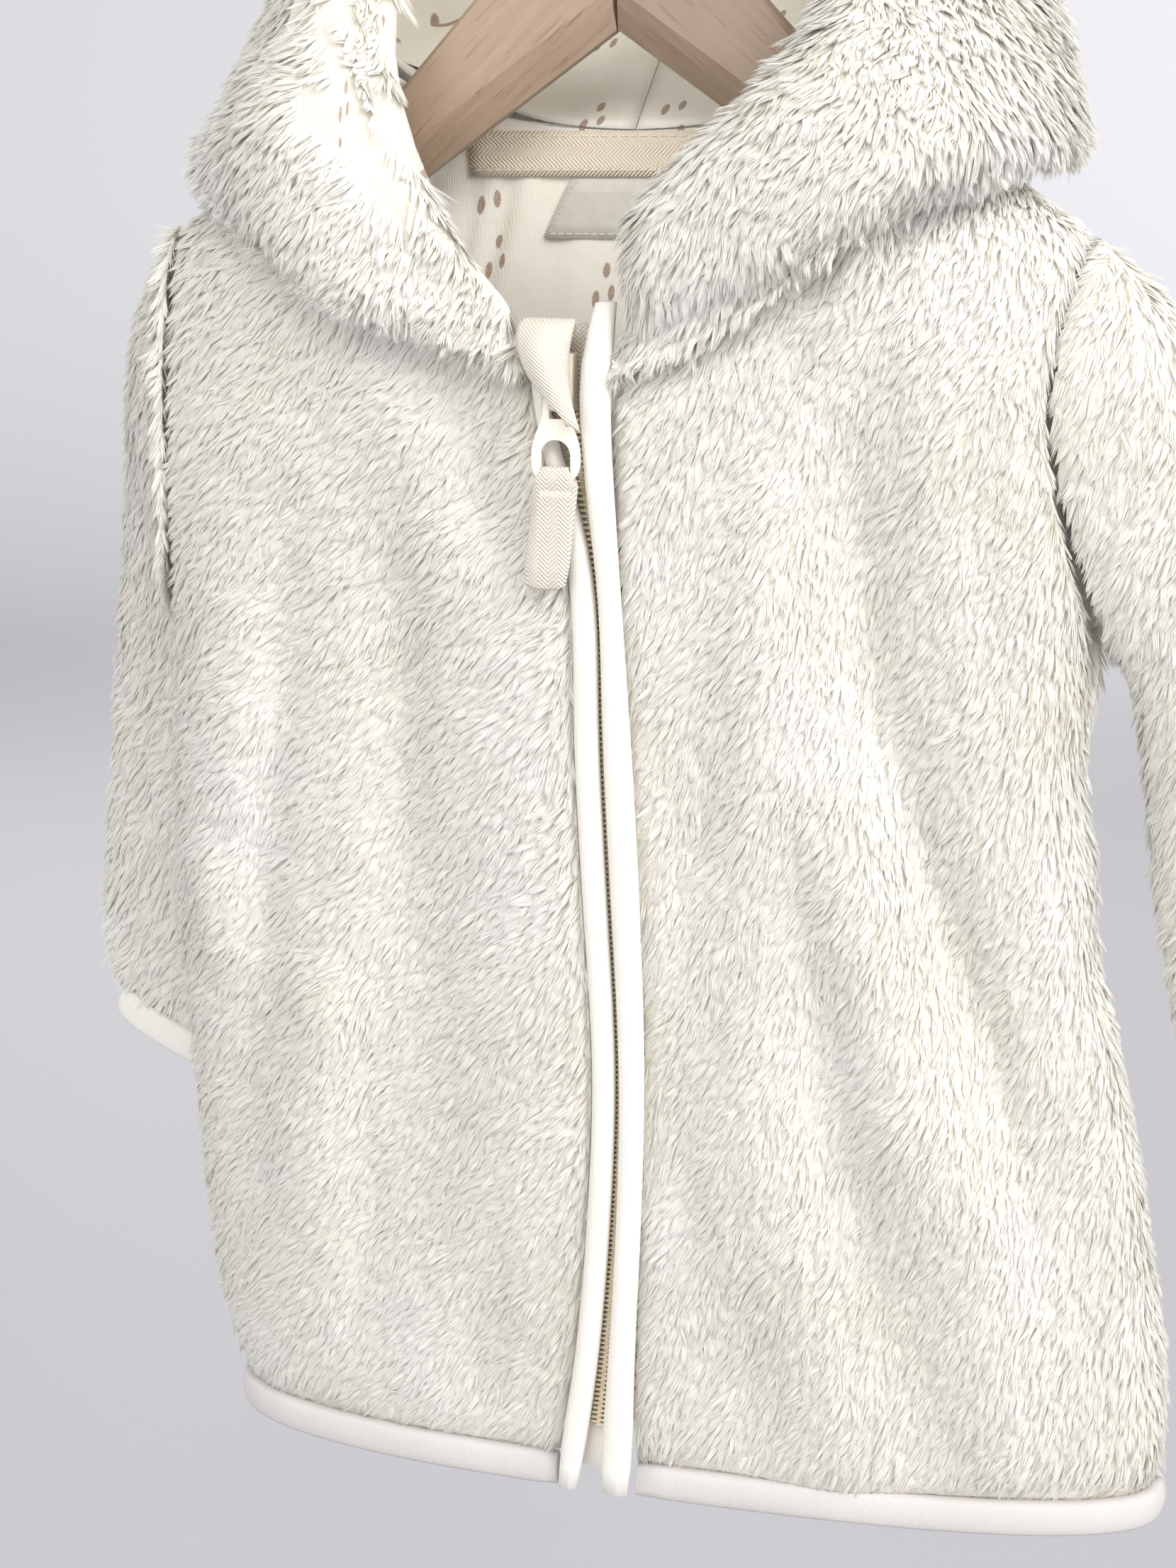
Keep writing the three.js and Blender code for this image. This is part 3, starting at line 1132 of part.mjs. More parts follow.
function hangerArm(side) {
  const name = side < 0 ? 'left' : 'right';
  const outline = new THREE.Shape(HANGER_OUTLINE.map(({ x, z }) => new THREE.Vector2(x, z)));
  const flat = HANGER_THICK - 2 * HANGER_EDGE.deep;
  const geometry = new THREE.ExtrudeGeometry(outline, {
    depth: flat,
    bevelThickness: HANGER_EDGE.deep,
    bevelSize: HANGER_EDGE.size,
    bevelOffset: -HANGER_EDGE.size,
    bevelSegments: 2,
  });
  geometry.rotateX(Math.PI / 2);
  geometry.translate(0, flat / 2, 0);
  chamferLowerEdges(geometry.attributes.position, flat / 2);
  if (side < 0) geometry.rotateZ(Math.PI);
  geometry.translate(0, MID_Y, 0);
  addPiece(`hanger_arm_${name}`, geometry, WOOD_LOOK);
}

function hangerHook() {
  const { radius, centre, foot, wire, sides, steps } = HOOK;
  const points = [
    new THREE.Vector3(0, MID_Y, foot),
    new THREE.Vector3(0, MID_Y, foot + 5),
    new THREE.Vector3(3, MID_Y, foot + 10),
  ];
  for (let degrees = -50; degrees <= 200; degrees += 25) {
    const angle = THREE.MathUtils.degToRad(degrees);
    points.push(new THREE.Vector3(radius * Math.cos(angle), MID_Y, centre + radius * Math.sin(angle)));
  }
  const section = new THREE.Shape();
  section.absarc(0, 0, wire, 0, 2 * Math.PI, false);
  const geometry = new THREE.ExtrudeGeometry(section, {
    steps,
    curveSegments: sides,
    bevelEnabled: false,
    extrudePath: new THREE.CatmullRomCurve3(points),
  });
  addPiece('hanger_hook', geometry, STEEL_LOOK);
}

const frontLeft = frontPanel(-1);
const frontRight = frontPanel(1);
const back = backPanel();
const sleeveLeft = sleeve(-1, SLEEVE_LEFT);
const sleeveRight = sleeve(1, SLEEVE_RIGHT);
hoodLining(-1, hoodHalf(-1, HOOD_LEFT), back.inner);
hoodLining(1, hoodHalf(1, HOOD_RIGHT), back.inner);
neckTrim(back.inner);
frontBinding(-1);
frontBinding(1);
hemBinding('left', lowerEdge(frontLeft));
hemBinding('back', lowerEdge(back));
hemBinding('right', lowerEdge(frontRight));
cuffBinding('left', sleeveLeft);
cuffBinding('right', sleeveRight);
zipStrip('zip_tape_left', -ZIP_TAPE.half, -SEAM_GAP / 2, ZIP_TAPE, TAPE_LOOK);
zipStrip('zip_tape_right', SEAM_GAP / 2, ZIP_TAPE.half, ZIP_TAPE, TAPE_LOOK);
zipStrip('zip_guard', -ZIP_GUARD.half, ZIP_GUARD.half, ZIP_GUARD, JERSEY_LOOK);
slider();
puller();
pullTape();
garage();
hangerArm(-1);
hangerArm(1);
hangerHook();

jacket.position.set(0, -MID_Y, -(HOOK.centre + HOOK.radius - HOOK.wire));
export default jacket;
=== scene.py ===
# Baby's hooded fleece jacket on a wooden hanger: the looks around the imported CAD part.
# Metres, +Z up, -Y to the viewer. The origin is where the hanger's hook bears on its rail.
import math

import bmesh
import bpy
import numpy as np
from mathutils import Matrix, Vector
from mathutils.bvhtree import BVHTree
from mathutils.kdtree import KDTree


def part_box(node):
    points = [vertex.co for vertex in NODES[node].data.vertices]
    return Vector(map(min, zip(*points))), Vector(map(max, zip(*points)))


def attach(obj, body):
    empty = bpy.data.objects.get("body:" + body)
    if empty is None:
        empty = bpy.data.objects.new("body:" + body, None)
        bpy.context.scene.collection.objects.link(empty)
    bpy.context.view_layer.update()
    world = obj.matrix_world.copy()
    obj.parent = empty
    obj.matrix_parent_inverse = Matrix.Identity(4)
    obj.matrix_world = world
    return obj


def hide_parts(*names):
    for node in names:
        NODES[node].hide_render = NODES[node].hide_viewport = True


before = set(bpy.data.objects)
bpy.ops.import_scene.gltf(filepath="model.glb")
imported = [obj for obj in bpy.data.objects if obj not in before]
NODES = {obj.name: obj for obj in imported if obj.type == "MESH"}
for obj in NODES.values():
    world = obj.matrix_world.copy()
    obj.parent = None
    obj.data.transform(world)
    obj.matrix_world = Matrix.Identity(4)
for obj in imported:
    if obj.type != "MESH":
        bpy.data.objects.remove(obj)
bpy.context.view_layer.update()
MM = 0.001
random = np.random.default_rng(7)

# Body axis of the jacket and the middle of the hood, in the row frame
MIDDLE_Y = 0.0
HOOD_HEART = Vector((0, 0.019, -0.066))

# Fleece: backing cloth, and the pile on it
SKIN = 1.5 * MM              # least backing left under the pile
PILE = 3.2 * MM              # how far the backing lies below the solid's outer face
LOCK_WIDTH = 0.85 * MM
CLUMP = 9                    # locks that lean together to one tip
CLUMP_RADIUS = 1.1 * MM
GATHER = 0.5
RISE = 0.14                  # how far most locks stand off the cloth, and how much that varies
RISE_SPREAD = 0.16
SEE_THROUGH = 0.4            # share of the light on a lock that passes through it
SWIRL_SIZE = 16 * MM         # distance over which the pile's lean changes

# Each fleece piece: locks, flat cut, comb direction, lock length, how far the lean wanders, and
# how much the locks stand up
FLEECE = (
    dict(node="front_left", locks=170000, flat=(0.150, 0.345), area=0.0465, comb=(-0.75, 0, -1),
         grow=0.85, wander=0.35, shaggy=1.0),
    dict(node="front_right", locks=170000, flat=(0.165, 0.345), area=0.0470, comb=(-0.45, 0, -1),
         grow=0.85, wander=0.35, shaggy=1.0),
    dict(node="back", locks=95000, flat=(0.310, 0.370), area=0.1010, comb=(-0.20, 0, -1),
         grow=0.85, wander=0.35, shaggy=1.2),
    dict(node="sleeve_left", locks=60000, flat=(0.150, 0.260), area=0.0311, comb=(-0.5, 0, -1),
         grow=0.85, wander=0.35, shaggy=1.1),
    dict(node="sleeve_right", locks=60000, flat=(0.170, 0.275), area=0.0391, comb=(-0.35, 0, -1),
         grow=0.85, wander=0.35, shaggy=1.1),
    dict(node="hood_left", locks=118000, flat=(0.235, 0.245), area=0.0367, comb=(-0.6, 0, -1),
         grow=0.95, wander=0.55, shaggy=1.5),
    dict(node="hood_right", locks=118000, flat=(0.235, 0.245), area=0.0371, comb=(-0.2, 0, -1),
         grow=0.95, wander=0.55, shaggy=1.5),
)

RIM_FRONT = 25 * MM          # the hood's edge carries pile in front of this
# The left face edge is turned out, so that a band of jersey shows beside the fleece
BAND = dict(node="hood_left", width=9 * MM, fade=6 * MM, above=-0.132, full=-0.108, reach=0.078, front=0.02)

# Creases that sharpen the troughs of the fronts and the back, in millimetres in the row frame
FLEECE_FOLDS = (
    dict(on="front_right", x_top=66, z_top=-190, x_low=72, z_low=-252, half=6, depth=2.2),
    dict(on="front_right", x_top=70, z_top=-236, x_low=119, z_low=-384, half=6.5, depth=3.4),
    dict(on="front_right", x_top=53, z_top=-265, x_low=71, z_low=-392, half=6, depth=2.6),
    dict(on="front_right", x_top=17, z_top=-332, x_low=36, z_low=-410, half=5, depth=2.4),
    dict(on="front_right", x_top=34, z_top=-180, x_low=31, z_low=-300, half=7, depth=1.8),
    dict(on="front_right", x_top=92, z_top=-170, x_low=108, z_low=-270, half=6, depth=1.8),
    dict(on="front_left", x_top=-52, z_top=-200, x_low=-50, z_low=-330, half=7, depth=2.4),
    dict(on="front_left", x_top=-62, z_top=-330, x_low=-66, z_low=-440, half=6, depth=2.2),
    dict(on="front_left", x_top=-82, z_top=-215, x_low=-100, z_low=-370, half=6, depth=2.4),
    dict(on="front_left", x_top=-24, z_top=-395, x_low=-32, z_low=-455, half=5, depth=2.2),
    dict(on="front_left", x_top=-33, z_top=-165, x_low=-22, z_low=-215, half=6, depth=1.6),
    dict(on="back", x_top=-70, z_top=-190, x_low=-84, z_low=-440, half=7, depth=-2.6),
    dict(on="back", x_top=-26, z_top=-250, x_low=-34, z_low=-450, half=6, depth=-2.2),
    dict(on="back", x_top=24, z_top=-220, x_low=50, z_low=-445, half=7, depth=-2.4),
    dict(on="back", x_top=80, z_top=-180, x_low=110, z_low=-430, half=7, depth=-2.6),
)

# Soft folds in the lining: top and low points, half-width and depth, all in millimetres in the row frame
LINING_FOLDS = (
    dict(on="back_lining", x_top=-53, z_top=-116, x_low=-62, z_low=-130, half=2.6, depth=1.6),
    dict(on="back_lining", x_top=-42, z_top=-117, x_low=-52, z_low=-152, half=2.4, depth=1.8),
    dict(on="back_lining", x_top=-34, z_top=-117, x_low=-47, z_low=-160, half=3.2, depth=2.2),
    dict(on="back_lining", x_top=-20, z_top=-118, x_low=-26, z_low=-170, half=4.0, depth=1.0),
    dict(on="back_lining", x_top=24, z_top=-117, x_low=33, z_low=-165, half=3.0, depth=1.8),
    dict(on="back_lining", x_top=40, z_top=-116, x_low=50, z_low=-150, half=2.8, depth=1.6),
    dict(on="hood_lining", x_top=-31, z_top=-78, x_low=-34, z_low=-106, half=2.2, depth=1.6),
    dict(on="hood_lining", x_top=-14, z_top=-72, x_low=-17, z_low=-107, half=2.8, depth=1.8),
    dict(on="hood_lining", x_top=1, z_top=-70, x_low=3.5, z_low=-107, half=2.0, depth=1.2),
    dict(on="hood_lining", x_top=14, z_top=-70, x_low=11, z_low=-107, half=2.6, depth=2.0),
    dict(on="hood_lining", x_top=27, z_top=-70, x_low=23, z_low=-106, half=3.0, depth=1.8),
    dict(on="hood_lining", x_top=42, z_top=-62, x_low=36, z_low=-104, half=3.4, depth=2.0),
    dict(on="hood_lining", x_top=-50, z_top=-62, x_low=-46, z_low=-102, half=3.2, depth=1.8),
)

# Other cloth kept on its solid's form: material, flat cut, and what it hangs from
CLOTH = (
    dict(node="hood_lining_left", look="jersey", flat=(0.150, 0.150), area=0.0187, on="hood_left"),
    dict(node="hood_lining_right", look="jersey", flat=(0.150, 0.150), area=0.0193, on="hood_right"),
    dict(node="back_lining", look="jersey", flat=(0.120, 0.120), area=0.0137, on="back"),
    dict(node="zip_guard", look="jersey", flat=(0.0196, 0.315), area=0.0061, on="front_left"),
    dict(node="front_binding_left", look="binding", flat=(0.0108, 0.315), area=0.00335, on="front_left"),
    dict(node="front_binding_right", look="binding", flat=(0.0118, 0.325), area=0.00375, on="front_right"),
    # The hem bindings take the hem look: binding cloth with painted shade
    dict(node="hem_binding_left", look="hem", flat=(0.0128, 0.122), area=0.00155, on="front_left"),
    dict(node="hem_binding_back", look="hem", flat=(0.0128, 0.295), area=0.00374, on="back"),
    dict(node="hem_binding_right", look="hem", flat=(0.0128, 0.160), area=0.0020, on="front_right"),
    dict(node="cuff_binding_left", look="binding", flat=(0.0128, 0.150), area=0.0019, on="sleeve_left"),
    dict(node="cuff_binding_right", look="binding", flat=(0.0128, 0.155), area=0.0019, on="sleeve_right"),
    dict(node="zip_garage", look="garage", flat=(0.0145, 0.030), area=0.00043, on="front_left"),
    dict(node="neck_tape", look="neck_tape", flat=(0.090, 0.0125), area=0.00112, on="back"),
    dict(node="neck_label", look="label", flat=(0.039, 0.0153), area=0.00058, on="back"),
    dict(node="zip_tape_left", look="tape", flat=(0.0100, 0.301), area=0.0025, on="front_left"),
    dict(node="zip_tape_right", look="tape", flat=(0.0100, 0.301), area=0.0025, on="front_right"),
)

# Printed dashes of a group, in millimetres from its middle: place, half-sizes, and the share of
# groups that do without it
PRINT_SPACING = 24 * MM
DASHES = (
    dict(x=-2.1, z=-1.0, wide=1.1, tall=2.6, share=0.0),
    dict(x=2.1, z=0.8, wide=1.0, tall=2.3, share=0.2),
    dict(x=0.9, z=6.6, wide=1.1, tall=2.2, share=0.55),
)

HERRINGBONE_BAND = 2.6 * MM
THREAD = 0.55 * MM

# Camera and light
CAMERA_AT = Vector((0.1405, -0.5743, -0.1168))
CAMERA_TO = Vector((0, -0.031, -0.2672))
LENS = 52
SENSOR = 36


# Meshes

def mesh_from(name, points, triangles, uvs=None, normals=None):
    """A mesh object from arrays of points and triangles, with one UV and one normal for each point."""
    mesh = bpy.data.meshes.new(name)
    corners = triangles.ravel()
    mesh.vertices.add(len(points))
    mesh.vertices.foreach_set("co", points.astype(np.float32).ravel())
    mesh.loops.add(len(corners))
    mesh.loops.foreach_set("vertex_index", corners.astype(np.int32))
    mesh.polygons.add(len(triangles))
    mesh.polygons.foreach_set("loop_start", np.arange(0, len(corners), 3, dtype=np.int32))
    mesh.update(calc_edges=True)
    mesh.polygons.foreach_set("use_smooth", np.ones(len(triangles), dtype=bool))
    if uvs is not None:
        layer = mesh.uv_layers.new(name="along")
        layer.data.foreach_set("uv", uvs[corners].astype(np.float32).ravel())
    if normals is not None:
        mesh.normals_split_custom_set_from_vertices(normals.tolist())
    piece = bpy.data.objects.new(name, mesh)
    bpy.context.scene.collection.objects.link(piece)
    return piece


def object_from(name, bm):
    mesh = bpy.data.meshes.new(name)
    bm.to_mesh(mesh)
    bm.free()
    mesh.polygons.foreach_set("use_smooth", np.ones(len(mesh.polygons), dtype=bool))
    piece = bpy.data.objects.new(name, mesh)
    bpy.context.scene.collection.objects.link(piece)
    return piece


def apply_modifiers(piece):
    graph = bpy.context.evaluated_depsgraph_get()
    mesh = bpy.data.meshes.new_from_object(piece.evaluated_get(graph))
    old = piece.data
    piece.modifiers.clear()
    piece.data = mesh
    bpy.data.meshes.remove(old)
    mesh.polygons.foreach_set("use_smooth", np.ones(len(mesh.polygons), dtype=bool))


def smoothed(piece, levels=1):
    modifier = piece.modifiers.new("smooth", "SUBSURF")
    modifier.levels = levels
    modifier.render_levels = levels
    apply_modifiers(piece)


def welded(node):
    """The node's mesh with its corners joined and its triangles paired into quads."""
    bm = bmesh.new()
    bm.from_mesh(NODES[node].data)
    bmesh.ops.remove_doubles(bm, verts=bm.verts, dist=0.01 * MM)
    bmesh.ops.join_triangles(
        bm, faces=bm.faces, angle_face_threshold=math.radians(50), angle_shape_threshold=math.radians(60)
    )
    bmesh.ops.recalc_face_normals(bm, faces=bm.faces)
    return bm


def finish_piece(piece, node, look, body="jacket"):
    piece.data.materials.clear()
    piece.data.materials.append(look)
    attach(piece, body)
    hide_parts(node)
    return piece


# Fleece

def heart_of(node, point):
    """A point inside the garment, level with a point on its wall."""
    if node.startswith("hood"):
        return HOOD_HEART
    if node.startswith("sleeve"):
        return sleeve_middle(node, point)
    return Vector((0.6 * point.x, MIDDLE_Y, point.z))


SLEEVE_LINES = {}


def sleeve_middle(node, point):
    """The sleeve's middle line, from the averages of its corners in slices square to its length."""
    if node not in SLEEVE_LINES:
        low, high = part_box(node)
        side = -1 if node.endswith("left") else 1
        run = Vector((side * 0.35, 0.12 if side < 0 else 0, -1)).normalized()
        corners = np.array([v.co for v in NODES[node].data.vertices])
        along = corners @ np.array(run)
        steps = np.linspace(along.min(), along.max(), 14)
        middles = []
        for start, end in zip(steps[:-2], steps[2:]):
            inside = (along >= start) & (along <= end)
            middles.append(corners[inside].mean(0))
        SLEEVE_LINES[node] = (np.array(run), np.array(middles))
    run, middles = SLEEVE_LINES[node]
    place = np.interp(np.array(point) @ run, middles @ run, np.arange(len(middles)))
    k = min(int(place), len(middles) - 2)
    return Vector(middles[k] + (middles[k + 1] - middles[k]) * (place - k))


def fleece_shell(node):
    """The backing cloth: the solid with its outer face lowered by the pile. Slot 1 marks the outer face."""
    bm = welded(node)
    tree = BVHTree.FromBMesh(bm)
    pile = {}
    for face in bm.faces:
        middle = face.calc_center_median()
        outward = face.normal.dot(middle - heart_of(node, middle)) > 0
        hit = tree.ray_cast(middle - face.normal * 0.5 * MM, -face.normal)
        wall = hit[3] + 0.5 * MM if hit[0] else 0
        face.material_index = 1 if outward and wall < 12 * MM else 0
        pile[face] = min(PILE, max(wall - SKIN, 0))
    band = face_band(node, bm)
    if node.startswith("hood"):
        for face in bm.faces:
            middle = face.calc_center_median()
            if face.normal.y < 0.3 and pile[face] >= PILE and middle.y < RIM_FRONT and face.material_index == 0:
                inward = face.normal.dot(middle - HOOD_HEART) < -0.75 * (middle - HOOD_HEART).length
                face.material_index = 0 if inward else 1
    lowered = {}
    for vert in bm.verts:
        outer = [face for face in vert.link_faces if face.material_index == 1]
        if outer:
            way = sum((face.normal for face in outer), Vector()).normalized()
            depth = min(pile[face] for face in outer) * min(1, band(vert.co) / BAND["fade"])
            lowered[vert] = vert.co - way * depth
    for face in bm.faces:
        if face.material_index == 1 and band(face.calc_center_median()) <= 0:
            face.material_index = 2
    for vert, place in lowered.items():
        vert.co = place
    crease(bm, math.radians(50), 1.0)
    shell = object_from("fleece_" + node, bm)
    for _ in range(3):
        shell.data.materials.append(LOOKS["backing"])
    smoothed(shell)
    fold_cloth(shell, [fold for fold in FLEECE_FOLDS if fold["on"] == node])
    return shell


def face_band(node, bm):
    """How far a point is from the jersey band at the turned-out face edge, 0 inside it."""
    if node != BAND["node"]:
        return lambda point: BAND["fade"]
    tree = KDTree(len(bm.verts))
    for vert in bm.verts:
        rim = {face.material_index for face in vert.link_faces} == {0, 1}
        near = abs(vert.co.x) < BAND["reach"] and vert.co.y < BAND["front"] and vert.co.z > BAND["above"]
        if rim and near:
            tree.insert(vert.co, vert.index)
    tree.balance()

    def distance(point):
        share = min(max((point.z - BAND["above"]) / (BAND["full"] - BAND["above"]), 0), 1)
        found = tree.find(point)[2]
        return max(found - BAND["width"] * share, 0) if found is not None and share > 0 else BAND["fade"]

    return distance


def wave(points, size, seed):
    """A smooth value from -1 to 1 that wanders over space."""
    total = np.zeros(len(points))
    rng = np.random.default_rng(seed)
    for octave in range(4):
        way = rng.normal(size=3)
        way /= np.linalg.norm(way)
        scale = size / (1 + 0.7 * octave)
        total += np.sin(points @ way * 2 * math.pi / scale + rng.uniform(0, 2 * math.pi))
    return total / 4


def unit(vectors):
    return vectors / np.maximum(np.linalg.norm(vectors, axis=1, keepdims=True), 1e-9)


def scatter(shell, count, facing_share):
    """Roots spread over the shell's outer face, denser where it faces the front: points and normals."""
    mesh = shell.data
    mesh.calc_loop_triangles()
    corners = np.empty(len(mesh.vertices) * 3)
    mesh.vertices.foreach_get("co", corners)
    corners = corners.reshape(-1, 3)
    smooth = np.empty(len(mesh.vertices) * 3)
    mesh.vertices.foreach_get("normal", smooth)
    smooth = smooth.reshape(-1, 3)
    outer = np.array([p.material_index == 1 for p in mesh.polygons])
    triangles = np.array([t.vertices[:] for t in mesh.loop_triangles if outer[t.polygon_index]])
    a, b, c = (corners[triangles[:, k]] for k in range(3))
    cross = np.cross(b - a, c - a)
    flat = unit(cross)
    weight = np.linalg.norm(cross, axis=1) * np.where(flat[:, 1] < 0.2, 1.0, facing_share)
    total = np.cumsum(weight)
    picks = (np.arange(count) + random.uniform(size=count)) * total[-1] / count
    found = np.minimum(np.searchsorted(total, picks), len(triangles) - 1)
    u, v = random.uniform(size=count), random.uniform(size=count)
    over = u + v > 1
    u[over], v[over] = 1 - u[over], 1 - v[over]
    w = 1 - u - v
    roots = a[found] * w[:, None] + b[found] * u[:, None] + c[found] * v[:, None]
    corner_normals = smooth[triangles[found]]
    normals = corner_normals[:, 0] * w[:, None] + corner_normals[:, 1] * u[:, None] + corner_normals[:, 2] * v[:, None]
    return roots, unit(normals)


def clump_centres(roots):
    """For each root, the number of the root that its clump gathers to."""
    centres = roots[::CLUMP]
    tree = KDTree(len(centres))
    for k, centre in enumerate(centres):
        tree.insert(centre, k)
    tree.balance()
    return np.array([tree.find(root)[1] for root in roots]) * CLUMP


def along_lock(roots, middles, tips, share):
    return roots * (1 - share) ** 2 + middles * 2 * share * (1 - share) + tips * share ** 2


def locks(name, roots, normals, lengths, comb, wander, shaggy, seed):
    """Thin blades from the roots, leaning along the comb direction and gathered in clumps."""
    count = len(roots)
    centre = clump_centres(roots)
    comb = np.broadcast_to(np.array(comb, float), roots.shape)
    lean = unit(comb - normals * (comb * normals).sum(1)[:, None])
    side = np.cross(normals, lean)
    turn = wander * wave(roots, SWIRL_SIZE * 3, seed) + 0.6 * wander * wave(roots, SWIRL_SIZE, seed + 1)
    turn += random.normal(scale=0.2, size=count)
    turn = turn[centre] + random.normal(scale=0.06, size=count)
    lean = unit(lean * np.cos(turn)[:, None] + side * np.sin(turn)[:, None])
    rise = RISE + RISE_SPREAD * (0.8 * wave(roots, SWIRL_SIZE * 0.6, seed + 2) + np.abs(random.normal(size=count)))
    rise = shaggy * np.clip(rise[centre] + random.normal(scale=0.04, size=count), 0.04, 1.0)[:, None]
    lengths = (lengths[centre] * random.uniform(0.88, 1.08, size=count))[:, None]
    start_way = unit(normals * (rise + 0.2) + lean * 0.85)
    end_way = unit(normals * rise * 0.35 + lean)
    middles = roots + start_way * lengths * 0.45
    tips = middles + end_way * lengths * 0.55
    gathered_middles = middles + (middles[centre] - middles) * GATHER * 0.5
    gathered_tips = tips + (tips[centre] - tips) * GATHER
    roll = random.normal(scale=0.3, size=count)[:, None]
    flat_side = unit(np.cross(end_way, normals))
    across = flat_side * np.cos(roll) + np.cross(end_way, flat_side) * np.sin(roll)
    widths = LOCK_WIDTH * random.uniform(0.7, 1.3, size=count)[:, None]
    points = []
    shades = []
    uvs = []
    for share, width in ((0.0, 1.0), (1.0, 0.0)):
        line = along_lock(roots, gathered_middles, gathered_tips, share)
        axis = along_lock(roots[centre], middles[centre], tips[centre], share)
        sides = (-1, 1) if width else (0,)
        for sign in sides:
            place = line + across * widths * width * sign / 2
            bulge = (place - axis) / CLUMP_RADIUS
            bulge /= np.maximum(np.linalg.norm(bulge, axis=1, keepdims=True), 1)
            points.append(place)
            shades.append(unit(normals + bulge * 0.18 + end_way * (share - 0.4) * 0.35))
            uvs.append((0.5 + sign / 2, share))
    points = np.stack(points, axis=1)
    shades = np.stack(shades, axis=1)
    per_lock = points.shape[1]
    faces = np.array(((0, 1, 2),))
    triangles = (faces[None] + (np.arange(count) * per_lock)[:, None, None]).reshape(-1, 3)
    uvs = np.tile(np.array(uvs), (count, 1))
    return mesh_from(name, points.reshape(-1, 3), triangles, uvs, shades.reshape(-1, 3))


def fleece_piece(row, seed):
    node = row["node"]
    shell = fleece_shell(node)
    roots, normals = scatter(shell, row["locks"], 0.45)
    lengths = (7.6 + 1.2 * wave(roots, SWIRL_SIZE * 2, seed + 5)) * MM * row["grow"]
    lengths = lengths * random.uniform(0.75, 1.2, size=len(roots))
    pile = locks("pile_" + node, roots, normals, lengths, row["comb"], row["wander"], row["shaggy"], seed)
    pile.data.materials.append(LOOKS["pile"])
    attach(pile, "jacket")
    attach(shell, "jacket")
    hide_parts(node)
    # The band at the face edge takes the edge look: the lining jersey with painted shade
    shell.data.materials[2] = LOOKS["edge"]
    return shell


# Materials

class Nodes:
    """Short calls for building a material's nodes."""

    def __init__(self, name):
        self.material = bpy.data.materials.new(name)
        self.material.use_nodes = True
        self.tree = self.material.node_tree
        self.shader = self.tree.nodes["Principled BSDF"]

    def add(self, kind, **settings):
        node = self.tree.nodes.new(kind)
        for key, value in settings.items():
            setattr(node, key, value)
        return node

    def link(self, source, target):
        self.tree.links.new(source, target)

    def put(self, target, value):
        if isinstance(value, bpy.types.NodeSocket):
            self.link(value, target)
        else:
            target.default_value = value

    def math(self, operation, a, b=0.0, c=0.0):
        node = self.add("ShaderNodeMath", operation=operation)
        for socket, value in zip(node.inputs, (a, b, c)):
            self.put(socket, value)
        return node.outputs[0]

    def clamp(self, value):
        node = self.add("ShaderNodeClamp")
        self.put(node.inputs[0], value)
        return node.outputs[0]

    def coordinates(self, kind="Object"):
        return self.add("ShaderNodeTexCoord").outputs[kind]

    def split(self, vector):
        node = self.add("ShaderNodeSeparateXYZ")
        self.link(vector, node.inputs[0])
        return node.outputs

    def noise(self, vector, scale, detail=2.0, roughness=0.5):
        node = self.add("ShaderNodeTexNoise")
        self.link(vector, node.inputs["Vector"])
        node.inputs["Scale"].default_value = scale
        node.inputs["Detail"].default_value = detail
        node.inputs["Roughness"].default_value = roughness
        return node.outputs["Fac"]

    def ramp(self, factor, *stops):
        node = self.add("ShaderNodeValToRGB")
        self.put(node.inputs[0], factor)
        stops = [(place, (*linear(colour), 1)) for place, colour in stops]
        elements = node.color_ramp.elements
        elements[0].position, elements[0].color = stops[0]
        elements[1].position, elements[1].color = stops[-1]
        for place, colour in stops[1:-1]:
            elements.new(place).color = colour
        return node.outputs["Color"]

    def mix(self, factor, a, b, blend="MIX"):
        node = self.add("ShaderNodeMix", data_type="RGBA", blend_type=blend)
        self.put(node.inputs["Factor"], factor)
        self.put(node.inputs[6], a)
        self.put(node.inputs[7], b)
        return node.outputs[2]

    def bump(self, height, strength, distance):
        node = self.add("ShaderNodeBump")
        self.put(node.inputs["Height"], height)
        node.inputs["Strength"].default_value = strength
        node.inputs["Distance"].default_value = distance
        self.link(node.outputs["Normal"], self.shader.inputs["Normal"])

    def finish(self, colour, roughness, **constants):
        self.put(self.shader.inputs["Base Color"], colour)
        self.put(self.shader.inputs["Roughness"], roughness)
        for name, value in constants.items():
            self.shader.inputs[name.replace("_", " ")].default_value = value
        return self.material


def linear(colour):
    """Three 0 to 255 screen values as linear light."""
    shares = (value / 255 for value in colour)
    return tuple(s / 12.92 if s <= 0.04045 else ((s + 0.055) / 1.055) ** 2.4 for s in shares)


